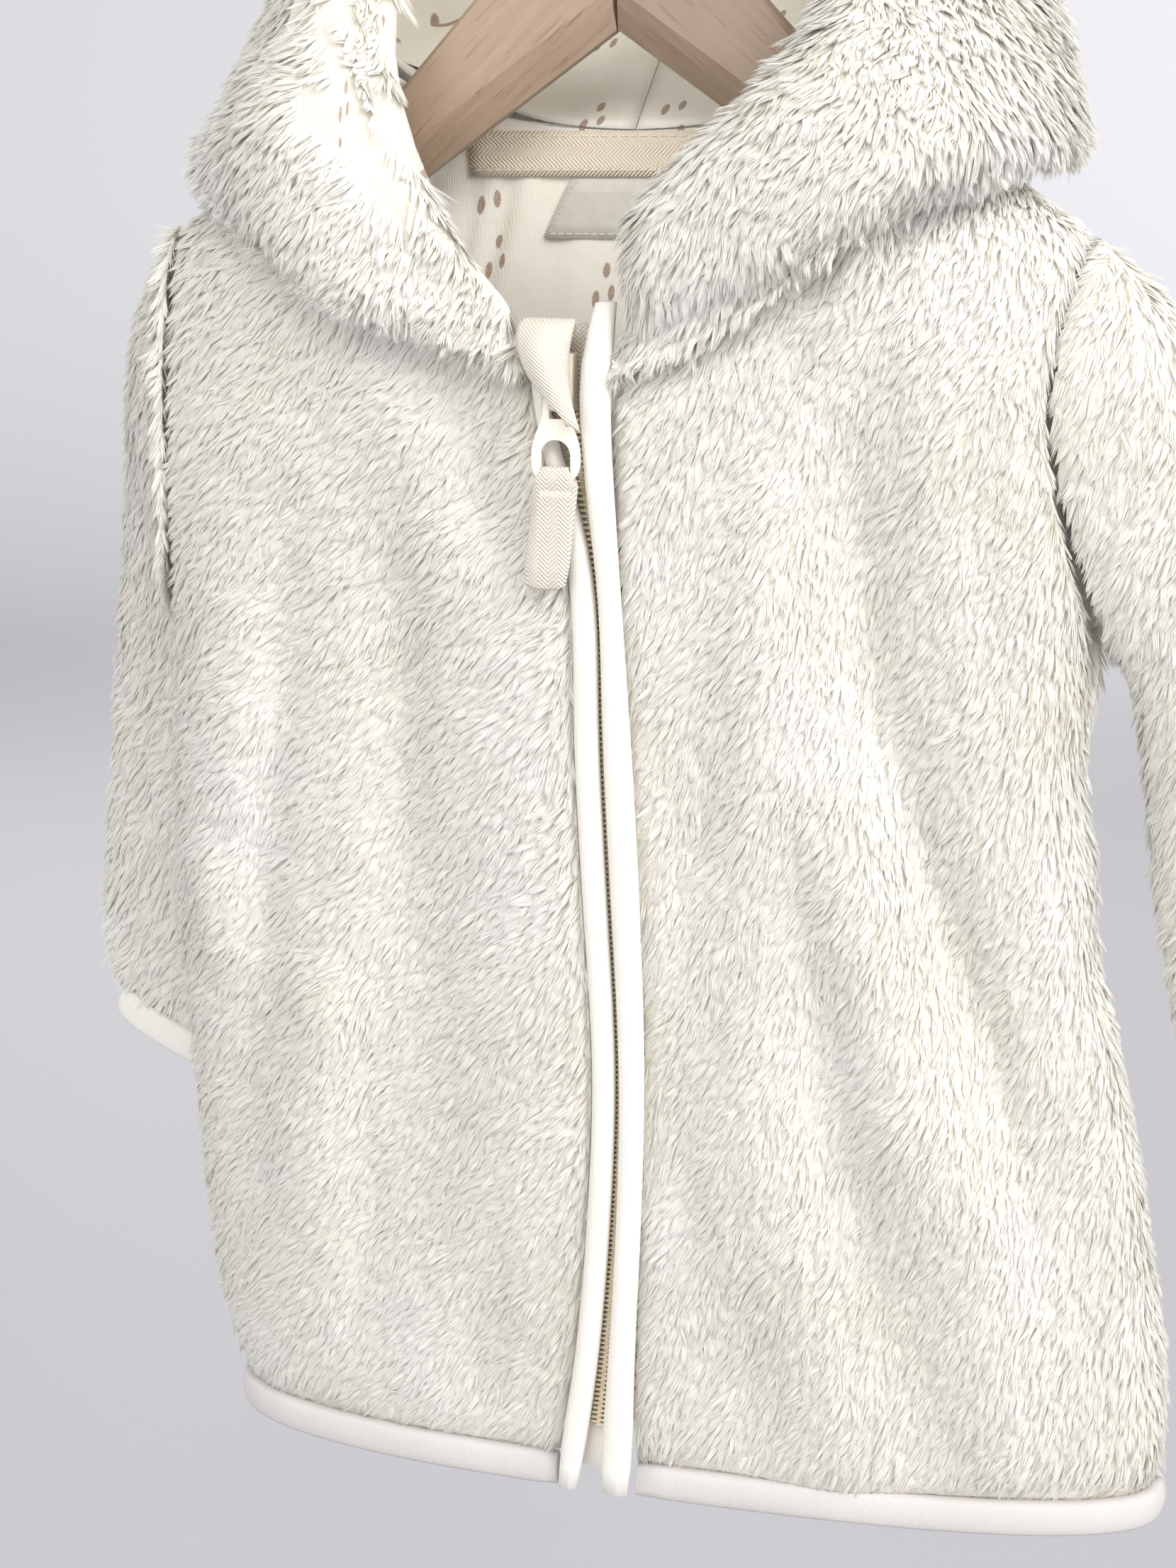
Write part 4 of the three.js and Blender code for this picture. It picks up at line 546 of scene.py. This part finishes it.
def pile_look():
    """Lock colour from root to tip, a little different from lock to lock and patch to patch. The roots are painted a
    little darker than the tips, as painted shade deep in the pile.

    Light passes through the locks in part, which softens the shadows between them."""
    n = Nodes("pile")
    along = n.split(n.coordinates("UV"))[1]
    # Painted shade: the lock colour darkens towards the root
    base = n.ramp(along, (0.0, (248, 246, 240)), (0.4, (252, 251, 247)), (1.0, (255, 254, 252)))
    patches = n.noise(n.coordinates(), 28.0)
    tint = n.ramp(patches, (0.3, (253, 252, 248)), (0.7, (255, 255, 255)))
    colour = n.mix(1.0, base, tint, "MULTIPLY")
    island = n.add("ShaderNodeNewGeometry").outputs["Random Per Island"]
    lock = n.ramp(island, (0.0, (251, 250, 248)), (1.0, (255, 255, 255)))
    colour = n.mix(1.0, colour, lock, "MULTIPLY")
    n.finish(colour, 0.85, Sheen_Weight=0.2, Sheen_Roughness=0.6, Specular_IOR_Level=0.2)
    through = n.add("ShaderNodeBsdfTranslucent")
    n.link(colour, through.inputs["Color"])
    both = n.add("ShaderNodeMixShader")
    both.inputs["Fac"].default_value = SEE_THROUGH
    n.link(n.shader.outputs[0], both.inputs[1])
    n.link(through.outputs[0], both.inputs[2])
    n.link(both.outputs[0], n.tree.nodes["Material Output"].inputs["Surface"])
    return n.material


def backing_look():
    n = Nodes("backing")
    speck = n.noise(n.coordinates(), 900.0, 4.0)
    colour = n.ramp(speck, (0.25, (240, 237, 228)), (0.75, (250, 248, 241)))
    n.bump(speck, 0.4, 0.5 * MM)
    return n.finish(colour, 0.95)


def knit_height(n, vector, pitch):
    """Rows of small knit stitches."""
    x, y, z = n.split(vector)
    across = n.math("PINGPONG", n.math("ADD", x, y), pitch)
    down = n.math("PINGPONG", z, pitch * 0.7)
    return n.math("DIVIDE", n.math("ADD", across, down), 2 * pitch)


def jersey_look(name, dark, light):
    """Fine jersey with loose groups of small upright dashes."""
    n = Nodes(name)
    x, y, z = n.split(n.coordinates())
    # At the sides of the hood the print runs round with the cloth
    sides = n.add("ShaderNodeMapRange", interpolation_type="SMOOTHSTEP")
    n.link(n.math("ABSOLUTE", x), sides.inputs["Value"])
    sides.inputs["From Min"].default_value = 0.04
    sides.inputs["From Max"].default_value = 0.07
    around = n.math("ADD", x, n.math("MULTIPLY", n.math("MULTIPLY", y, 0.8), sides.outputs["Result"]))
    down = n.math("ADD", z, n.math("MULTIPLY", y, 0.45))
    flat = n.add("ShaderNodeCombineXYZ")
    n.link(around, flat.inputs[0])
    n.link(down, flat.inputs[1])
    cells = n.add("ShaderNodeTexVoronoi", voronoi_dimensions="2D")
    cells.inputs["Scale"].default_value = 1 / PRINT_SPACING
    cells.inputs["Randomness"].default_value = 0.7
    n.link(flat.outputs[0], cells.inputs["Vector"])
    place = n.split(cells.outputs["Position"])
    pick = n.split(cells.outputs["Color"])
    from_x = n.math("SUBTRACT", around, place[0])
    from_z = n.math("SUBTRACT", down, place[1])
    nearest = None
    for dash in DASHES:
        off_z = n.math("DIVIDE", n.math("SUBTRACT", from_z, dash["z"] * MM), dash["tall"] * MM)
        leaning = n.math("SUBTRACT", from_x, n.math("MULTIPLY", off_z, 0.25 * MM))
        off_x = n.math("DIVIDE", n.math("SUBTRACT", leaning, dash["x"] * MM), dash["wide"] * MM)
        radius = n.math("ADD", n.math("MULTIPLY", off_x, off_x), n.math("MULTIPLY", off_z, off_z))
        left_out = n.math("LESS_THAN", pick[0], dash["share"])
        radius = n.math("ADD", radius, n.math("MULTIPLY", left_out, 9.0))
        nearest = radius if nearest is None else n.math("MINIMUM", nearest, radius)
    inside = n.math("MULTIPLY", n.math("SUBTRACT", 1.0, nearest), 2.5)
    vector = n.coordinates()
    wear = n.noise(vector, 1500.0, 3.0)
    ink = n.math("MULTIPLY", n.clamp(inside), n.math("ADD", 0.55, n.math("MULTIPLY", wear, 0.5)))
    cream = n.ramp(n.noise(vector, 60.0), (0.3, dark), (0.7, light))
    brown = (*linear((160, 128, 108)), 1)
    colour = n.mix(ink, cream, brown)
    height = n.math("ADD", knit_height(n, vector, 0.35 * MM), n.math("MULTIPLY", n.noise(vector, 90.0, 2.0), 3.0))
    n.bump(height, 0.35, 0.4 * MM)
    return n.finish(colour, 0.9, Sheen_Weight=0.15)


def binding_look(name, dark, light):
    """Soft brushed knit."""
    n = Nodes(name)
    vector = n.coordinates()
    fuzz = n.noise(vector, 1300.0, 5.0, 0.7)
    slow = n.noise(vector, 45.0)
    colour = n.mix(0.5, n.ramp(fuzz, (0.25, dark), (0.75, light)), n.ramp(slow, (0.3, dark), (0.7, light)))
    height = n.math("ADD", n.math("MULTIPLY", knit_height(n, vector, 0.3 * MM), 0.7), fuzz)
    n.bump(height, 0.45, 0.35 * MM)
    return n.finish(colour, 0.92, Sheen_Weight=0.15, Sheen_Roughness=0.5)


def tape_look(name, bands_along, dark, light):
    """Herringbone tape. The bands of its weave run along x or z, and the threads turn from band to band."""
    n = Nodes(name)
    x, _, z = n.split(n.coordinates())
    run, over = (x, z) if bands_along == "x" else (z, x)
    zigzag = n.math("PINGPONG", over, HERRINGBONE_BAND)
    threads = n.math("DIVIDE", n.math("PINGPONG", n.math("ADD", run, zigzag), THREAD), THREAD)
    speck = n.noise(n.coordinates(), 1600.0, 3.0)
    colour = n.mix(0.25, n.ramp(threads, (0.0, dark), (0.75, light)), n.ramp(speck, (0.3, dark), (0.7, light)))
    n.bump(threads, 0.8, 0.4 * MM)
    return n.finish(colour, 0.88)


def garage_look():
    """Fine diagonal knit of the folded flap."""
    n = Nodes("garage")
    x, _, z = n.split(n.coordinates())
    slant = n.math("ADD", n.math("MULTIPLY", x, 0.8), z)
    rib = n.math("DIVIDE", n.math("PINGPONG", slant, 0.45 * MM), 0.45 * MM)
    fuzz = n.noise(n.coordinates(), 1500.0, 4.0)
    colour = n.mix(0.5, n.ramp(rib, (0.0, (186, 178, 162)), (0.8, (224, 218, 205))),
                   n.ramp(fuzz, (0.3, (207, 200, 186)), (0.7, (220, 215, 203))))
    n.bump(n.math("ADD", rib, fuzz), 0.7, 0.3 * MM)
    return n.finish(colour, 0.9, Sheen_Weight=0.2)


def label_look():
    n = Nodes("label")
    x, _, z = n.split(n.coordinates())
    weft = n.math("DIVIDE", n.math("PINGPONG", z, 0.12 * MM), 0.12 * MM)
    colour = n.ramp(n.noise(n.coordinates(), 300.0), (0.3, (205, 200, 190)), (0.7, (212, 208, 199)))
    n.bump(weft, 0.25, 0.1 * MM)
    return n.finish(colour, 0.42, Anisotropic=0.5, Sheen_Weight=0.1)


def thread_look():
    n = Nodes("thread")
    twist = n.noise(n.coordinates(), 2500.0, 2.0)
    colour = n.ramp(twist, (0.3, (226, 218, 200)), (0.7, (247, 243, 232)))
    n.bump(twist, 0.4, 0.1 * MM)
    return n.finish(colour, 0.7)


def plastic_look():
    n = Nodes("plastic")
    speck = n.noise(n.coordinates(), 500.0, 3.0)
    colour = n.ramp(speck, (0.3, (238, 229, 212)), (0.7, (246, 239, 225)))
    n.bump(speck, 0.08, 0.1 * MM)
    roughness = n.math("ADD", 0.3, n.math("MULTIPLY", speck, 0.15))
    return n.finish(colour, roughness, Subsurface_Weight=0.15, Subsurface_Scale=0.002)


def coil_look():
    n = Nodes("coil")
    colour = n.ramp(n.noise(n.coordinates(), 700.0), (0.3, (222, 205, 176)), (0.7, (238, 224, 198)))
    n.bump(n.noise(n.coordinates(), 1800.0), 0.2, 0.1 * MM)
    return n.finish(colour, 0.45)


def wood_look(name, slope, shade):
    """Pale beech: fine grain and short dark flecks that run along the arm. The grain colours are darker than the wood's
    own tone, as painted shade, and the shade argument darkens a whole arm further, also as painted shade.
    """
    n = Nodes(name)
    x, y, z = n.split(n.coordinates())
    along = n.math("SUBTRACT", x, n.math("MULTIPLY", z, slope))
    across = n.math("ADD", n.math("MULTIPLY", x, slope), z)
    stretched = n.add("ShaderNodeCombineXYZ")
    n.link(n.math("MULTIPLY", along, 0.06), stretched.inputs[0])
    n.link(across, stretched.inputs[1])
    n.link(n.math("MULTIPLY", y, 1.0), stretched.inputs[2])
    grain = n.noise(stretched.outputs[0], 420.0, 5.0, 0.62)
    bands = n.noise(stretched.outputs[0], 70.0, 2.0)
    # Grain and band colours: partly the beech's own tone, partly painted shade for arms that sit in the hood's shade
    colour = n.mix(0.5, n.ramp(grain, (0.3, (137, 113, 91)), (0.5, (156, 133, 112)), (0.75, (169, 148, 127))),
                   n.ramp(bands, (0.3, (143, 120, 99)), (0.7, (165, 143, 123))))
    # Painted shade: the whole arm's colour is multiplied by shade
    colour = n.mix(1.0, colour, (shade, shade, shade, 1), "MULTIPLY")
    flecks = n.noise(stretched.outputs[0], 900.0, 1.0)
    dark = n.math("GREATER_THAN", flecks, 0.68)
    colour = n.mix(n.math("MULTIPLY", dark, 0.4), colour, (*linear((112, 86, 64)), 1))
    n.bump(grain, 0.15, 0.2 * MM)
    return n.finish(colour, n.math("ADD", 0.36, n.math("MULTIPLY", grain, 0.25)), Coat_Weight=0.15)


def steel_look():
    n = Nodes("steel")
    brushed = n.noise(n.coordinates(), 1200.0, 4.0)
    colour = n.ramp(brushed, (0.3, (192, 193, 196)), (0.7, (222, 222, 224)))
    n.bump(brushed, 0.05, 0.05 * MM)
    return n.finish(colour, n.math("ADD", 0.16, n.math("MULTIPLY", brushed, 0.15)), Metallic=1.0)


def stage_look():
    """Pale wall and floor with painted shade: the wall greyer towards the left, the floor darker towards the right."""
    n = Nodes("stage")
    x, y, _ = n.split(n.coordinates())
    place = n.math("ADD", 0.5, n.math("MULTIPLY", x, 0.3))
    # Painted shade: the wall ramp greys to the left and the floor ramp darkens to the right
    wall = n.ramp(place, (0.1, (232, 232, 234)), (0.9, (244, 243, 246)))
    floor = n.ramp(place, (0.1, (182, 182, 185)), (0.9, (174, 172, 175)))
    soft = n.add("ShaderNodeMapRange", interpolation_type="SMOOTHSTEP")
    n.link(y, soft.inputs["Value"])
    soft.inputs["From Min"].default_value = 1.6
    soft.inputs["From Max"].default_value = 3.6
    grain = n.noise(n.coordinates(), 2.0)
    colour = n.mix(soft.outputs["Result"], floor, wall)
    colour = n.mix(n.math("MULTIPLY", grain, 0.05), colour, (*linear((200, 200, 206)), 1))
    return n.finish(colour, 0.9)


# Cloth that keeps its solid's form

def cloth_piece(row):
    node = row["node"]
    bm = welded(node)
    folds = [fold for fold in LINING_FOLDS if node.startswith(fold["on"])]
    crease(bm, math.radians(55), 1.0 if folds else 0.7)
    piece = object_from("cloth_" + node, bm)
    smoothed(piece, 2 if folds else 1)
    fold_cloth(piece, folds)
    return finish_piece(piece, node, LOOKS[row["look"]])


def fold_cloth(piece, folds):
    """Pushes soft troughs into a piece, away from the viewer."""
    for vert in piece.data.vertices:
        x, z = vert.co.x / MM, vert.co.z / MM
        for fold in folds:
            share = (fold["z_top"] - z) / (fold["z_top"] - fold["z_low"])
            swell = max(0, math.sin(math.pi * min(max(0.15 + 0.85 * share, 0), 1)))
            line = fold["x_top"] + (fold["x_low"] - fold["x_top"]) * share
            away = (x - line) / fold["half"]
            vert.co.y += fold["depth"] * swell * (math.exp(-away * away) - 0.4 * math.exp(-(away - 2) ** 2)) * MM


def crease(bm, angle, amount):
    """Keeps sharp edges when the piece is smoothed."""
    layer = bm.edges.layers.float.new("crease_edge")
    for edge in bm.edges:
        if edge.calc_face_angle(0) > angle:
            edge[layer] = amount


# Sewing and the zip

def tree_of(node):
    bm = bmesh.new()
    bm.from_mesh(NODES[node].data)
    tree = BVHTree.FromBMesh(bm)
    bm.free()
    return tree


def front_of(tree, x, z):
    """The nearest point of a node to the viewer at x and z, or None."""
    hit = tree.ray_cast(Vector((x, -0.3, z)), Vector((0, 1, 0)))
    return hit[0]


def bars(name, lines, radius, look, body="jacket"):
    """Short threads or teeth from a list of start and end points, each a bar with bevelled ends."""
    points, triangles = [], []
    for start, end in lines:
        way = (end - start).normalized()
        side = way.cross(Vector((0, 1, 0)))
        side = side.normalized() if side.length > 1e-6 else Vector((1, 0, 0))
        up = way.cross(side)
        first = len(points)
        for share, size in ((0, 0.45), (0.15, 1), (0.85, 1), (1, 0.45)):
            centre = start.lerp(end, share)
            for k in range(6):
                angle = k / 6 * 2 * math.pi
                points.append(centre + (side * math.cos(angle) + up * math.sin(angle)) * radius * size)
        for ring in range(3):
            for k in range(6):
                a, b = first + ring * 6 + k, first + ring * 6 + (k + 1) % 6
                triangles += [(a, b, b + 6), (a, b + 6, a + 6)]
        for k in range(1, 5):
            triangles += [(first, first + k + 1, first + k), (first + 18, first + 18 + k, first + 19 + k)]
    piece = mesh_from(name, np.array([tuple(p) for p in points]), np.array(triangles))
    piece.data.materials.append(look)
    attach(piece, body)
    return piece


def zip_line(z):
    """Middle of the zip at a height, between the two tapes."""
    left = np.array([v.co for v in NODES["zip_tape_left"].data.vertices])
    right = np.array([v.co for v in NODES["zip_tape_right"].data.vertices])
    steps = np.unique(np.round(left[:, 2], 5))
    inner_left = [left[np.abs(left[:, 2] - s) < 1e-4, 0].max() for s in steps]
    inner_right = [right[np.abs(right[:, 2] - s) < 1e-4, 0].min() for s in steps]
    return np.interp(z, steps, (np.array(inner_left) + np.array(inner_right)) / 2)


def zip_coil():
    """Two rows of teeth that mesh along the zip's middle."""
    low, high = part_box("zip_tape_left")
    front = low.y - 0.9 * MM
    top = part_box("zip_slider")[0].z + 2 * MM
    heights = np.arange(low.z + 1 * MM, top, 0.72 * MM)
    middles = zip_line(heights)
    lines = []
    for k, (z, x) in enumerate(zip(heights, middles)):
        side = -1 if k % 2 else 1
        lines.append((Vector((x + side * 2.4 * MM, front, z)), Vector((x - side * 0.7 * MM, front, z))))
    return bars("zip_teeth", lines, 0.42 * MM, LOOKS["coil"])


def stitch_row(points, length, gap):
    """Stitches along a line of points, as start and end pairs."""
    lines = []
    for a, b in zip(points[:-1], points[1:]):
        run = (b - a).length
        count = max(1, round(run / (length + gap)))
        for k in range(count):
            lines.append((a.lerp(b, (k + 0.1) / count), a.lerp(b, (k + 0.1) / count + length / (length + gap) / count)))
    return lines


def neck_stitching():
    tape, label = tree_of("neck_tape"), tree_of("neck_label")
    low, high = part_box("neck_tape")
    lines = []
    for z in (low.z + 1.6 * MM, high.z - 1.4 * MM):
        points = []
        for x in np.linspace(low.x + 1 * MM, high.x - 1 * MM, 34):
            hit = front_of(tape, x, z)
            if hit:
                points.append(hit + Vector((0, -0.12 * MM, 0)))
        lines += stitch_row(points, 1.9 * MM, 0.7 * MM)
    low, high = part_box("neck_label")
    top_left = min(v.co.x for v in NODES["neck_label"].data.vertices if v.co.z > high.z - MM)
    inset = 1.2 * MM
    corners = ((top_left + inset, high.z - inset), (low.x + inset * 1.6, low.z + inset),
               (high.x - inset, low.z + inset), (high.x - inset, high.z - inset))
    points = []
    for (x0, z0), (x1, z1) in zip(corners[:-1], corners[1:]):
        for share in np.linspace(0, 1, 9):
            hit = front_of(label, x0 + (x1 - x0) * share, z0 + (z1 - z0) * share)
            if hit:
                points.append(hit + Vector((0, -0.1 * MM, 0)))
    lines += stitch_row(points, 1.5 * MM, 0.6 * MM)
    return bars("neck_stitching", lines, 0.17 * MM, LOOKS["thread"])


def pull_stitching():
    """Bar of close stitches that closes the pull tape's loop."""
    tape = tree_of("pull_tape")
    low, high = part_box("pull_tape")
    centre = high.z - 6.8 * MM
    lines = []
    middle = (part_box("zip_puller")[0].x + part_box("zip_puller")[1].x) / 2
    for k in range(14):
        x = middle + (k / 13 - 0.5) * 7.4 * MM
        top, foot = front_of(tape, x, centre + 0.9 * MM), front_of(tape, x + 0.25 * MM, centre - 0.9 * MM)
        if top and foot:
            lift = Vector((0, -0.15 * MM, 0))
            lines.append((top + lift, foot + lift))
    return bars("pull_stitching", lines, 0.26 * MM, LOOKS["thread"], "zip_pull")


def soft_pull_tape():
    bm = welded("pull_tape")
    crease(bm, math.radians(60), 0.45)
    piece = object_from("cloth_pull_tape", bm)
    smoothed(piece, 2)
    return finish_piece(piece, "pull_tape", LOOKS["tape"], "zip_pull")


def hard_piece(node, look, body, width):
    """A copy of a hard node with its edges rounded."""
    bm = welded(node)
    bmesh.ops.dissolve_limit(bm, angle_limit=math.radians(1), verts=bm.verts, edges=bm.edges)
    sharp = [edge for edge in bm.edges if edge.calc_face_angle(0) > math.radians(40)]
    bmesh.ops.bevel(bm, geom=sharp, offset=width, segments=2, profile=0.6, affect="EDGES", clamp_overlap=True)
    piece = object_from("hard_" + node, bm)
    return finish_piece(piece, node, look, body)


# Scene

def stage():
    """A wide pale floor that sweeps up into a wall far behind the jacket."""
    points, triangles = [], []
    profile = [(-6.0, -0.75), (2.2, -0.75)]
    for k in range(1, 13):
        angle = k / 12 * math.pi / 2
        profile.append((2.2 + 1.4 * math.sin(angle), -0.75 + 1.4 * (1 - math.cos(angle))))
    profile.append((3.6, 4.5))
    for y, z in profile:
        points += [(-7, y, z), (7, y, z)]
    for k in range(len(profile) - 1):
        a = 2 * k
        triangles += [(a, a + 1, a + 3), (a, a + 3, a + 2)]
    sweep = mesh_from("stage_sweep", np.array(points, float), np.array(triangles))
    sweep.data.materials.append(stage_look())


def area_light(name, place, target, size, power, colour):
    light = bpy.data.lights.new(name, "AREA")
    light.shape = "RECTANGLE"
    light.size, light.size_y = size
    light.energy = power
    light.color = colour
    lamp = bpy.data.objects.new(name, light)
    lamp.location = place
    lamp.rotation_euler = (target - place).to_track_quat("-Z", "Y").to_euler()
    bpy.context.scene.collection.objects.link(lamp)


def lights():
    world = bpy.data.worlds.new("studio")
    bpy.context.scene.world = world
    world.use_nodes = True
    sky = world.node_tree.nodes["Background"]
    sky.inputs["Color"].default_value = (0.97, 0.98, 1.0, 1)
    sky.inputs["Strength"].default_value = 0.68
    middle = Vector((0, 0, -0.3))
    area_light("key", Vector((3.4, -1.8, 1.7)), middle, (3.2, 3.2), 185, (1, 0.99, 0.98))
    area_light("fill", Vector((-0.8, -2.3, 0.6)), middle, (2.2, 2.2), 28, (1, 0.99, 0.98))
    area_light("neck", Vector((0.1, -0.7, 0.35)), Vector((0, 0.03, -0.12)), (0.3, 0.3), 2.2, (1, 0.98, 0.96))
    area_light("back", Vector((-0.9, 1.5, 0.8)), middle, (1.4, 1.4), 14, (1, 1, 1))
    bpy.context.scene.view_settings.view_transform = "Standard"


def camera():
    lens = bpy.data.cameras.new("camera")
    lens.lens = LENS
    lens.sensor_width = SENSOR
    eye = bpy.data.objects.new("camera", lens)
    eye.location = CAMERA_AT
    eye.rotation_euler = (CAMERA_TO - CAMERA_AT).to_track_quat("-Z", "Y").to_euler()
    bpy.context.scene.collection.objects.link(eye)
    bpy.context.scene.camera = eye


LOOKS = {
    "pile": pile_look(),
    "backing": backing_look(),
    "jersey": jersey_look("jersey", (250, 245, 232), (255, 251, 241)),
    # edge is the lining jersey painted darker, as painted shade on the band at the turned-out face edge
    "edge": jersey_look("edge", (208, 203, 192), (217, 212, 202)),
    "binding": binding_look("binding", (224, 220, 211), (236, 233, 227)),
    # hem is the binding painted darker and greyer, as painted shade along the lower edge
    "hem": binding_look("hem", (198, 193, 190), (209, 204, 202)),
    "neck_tape": tape_look("neck_tape", "x", (236, 217, 190), (255, 246, 227)),
    "tape": tape_look("tape", "z", (197, 187, 170), (234, 227, 214)),
    "garage": garage_look(),
    "label": label_look(),
    "thread": thread_look(),
    "plastic": plastic_look(),
    "coil": coil_look(),
}

camera()
lights()
stage()
shells = {row["node"]: fleece_piece(row, 100 + 10 * k) for k, row in enumerate(FLEECE)}
for row in CLOTH:
    cloth = cloth_piece(row)
pull_tape = soft_pull_tape()
hard_piece("zip_puller", LOOKS["plastic"], "zip_pull", 0.3 * MM)
hard_piece("zip_slider", LOOKS["plastic"], "jacket", 0.35 * MM)
zip_coil()
neck_stitching()
stitching = pull_stitching()
# The right arm is the same wood with painted shade (0.82), a shaded copy of the left arm
for node, look in (("hanger_arm_left", wood_look("wood_left", -0.93, 1.0)),
                   ("hanger_arm_right", wood_look("wood_right", 0.93, 0.82)),
                   ("hanger_hook", steel_look())):
    NODES[node].data.materials.clear()
    NODES[node].data.materials.append(look)
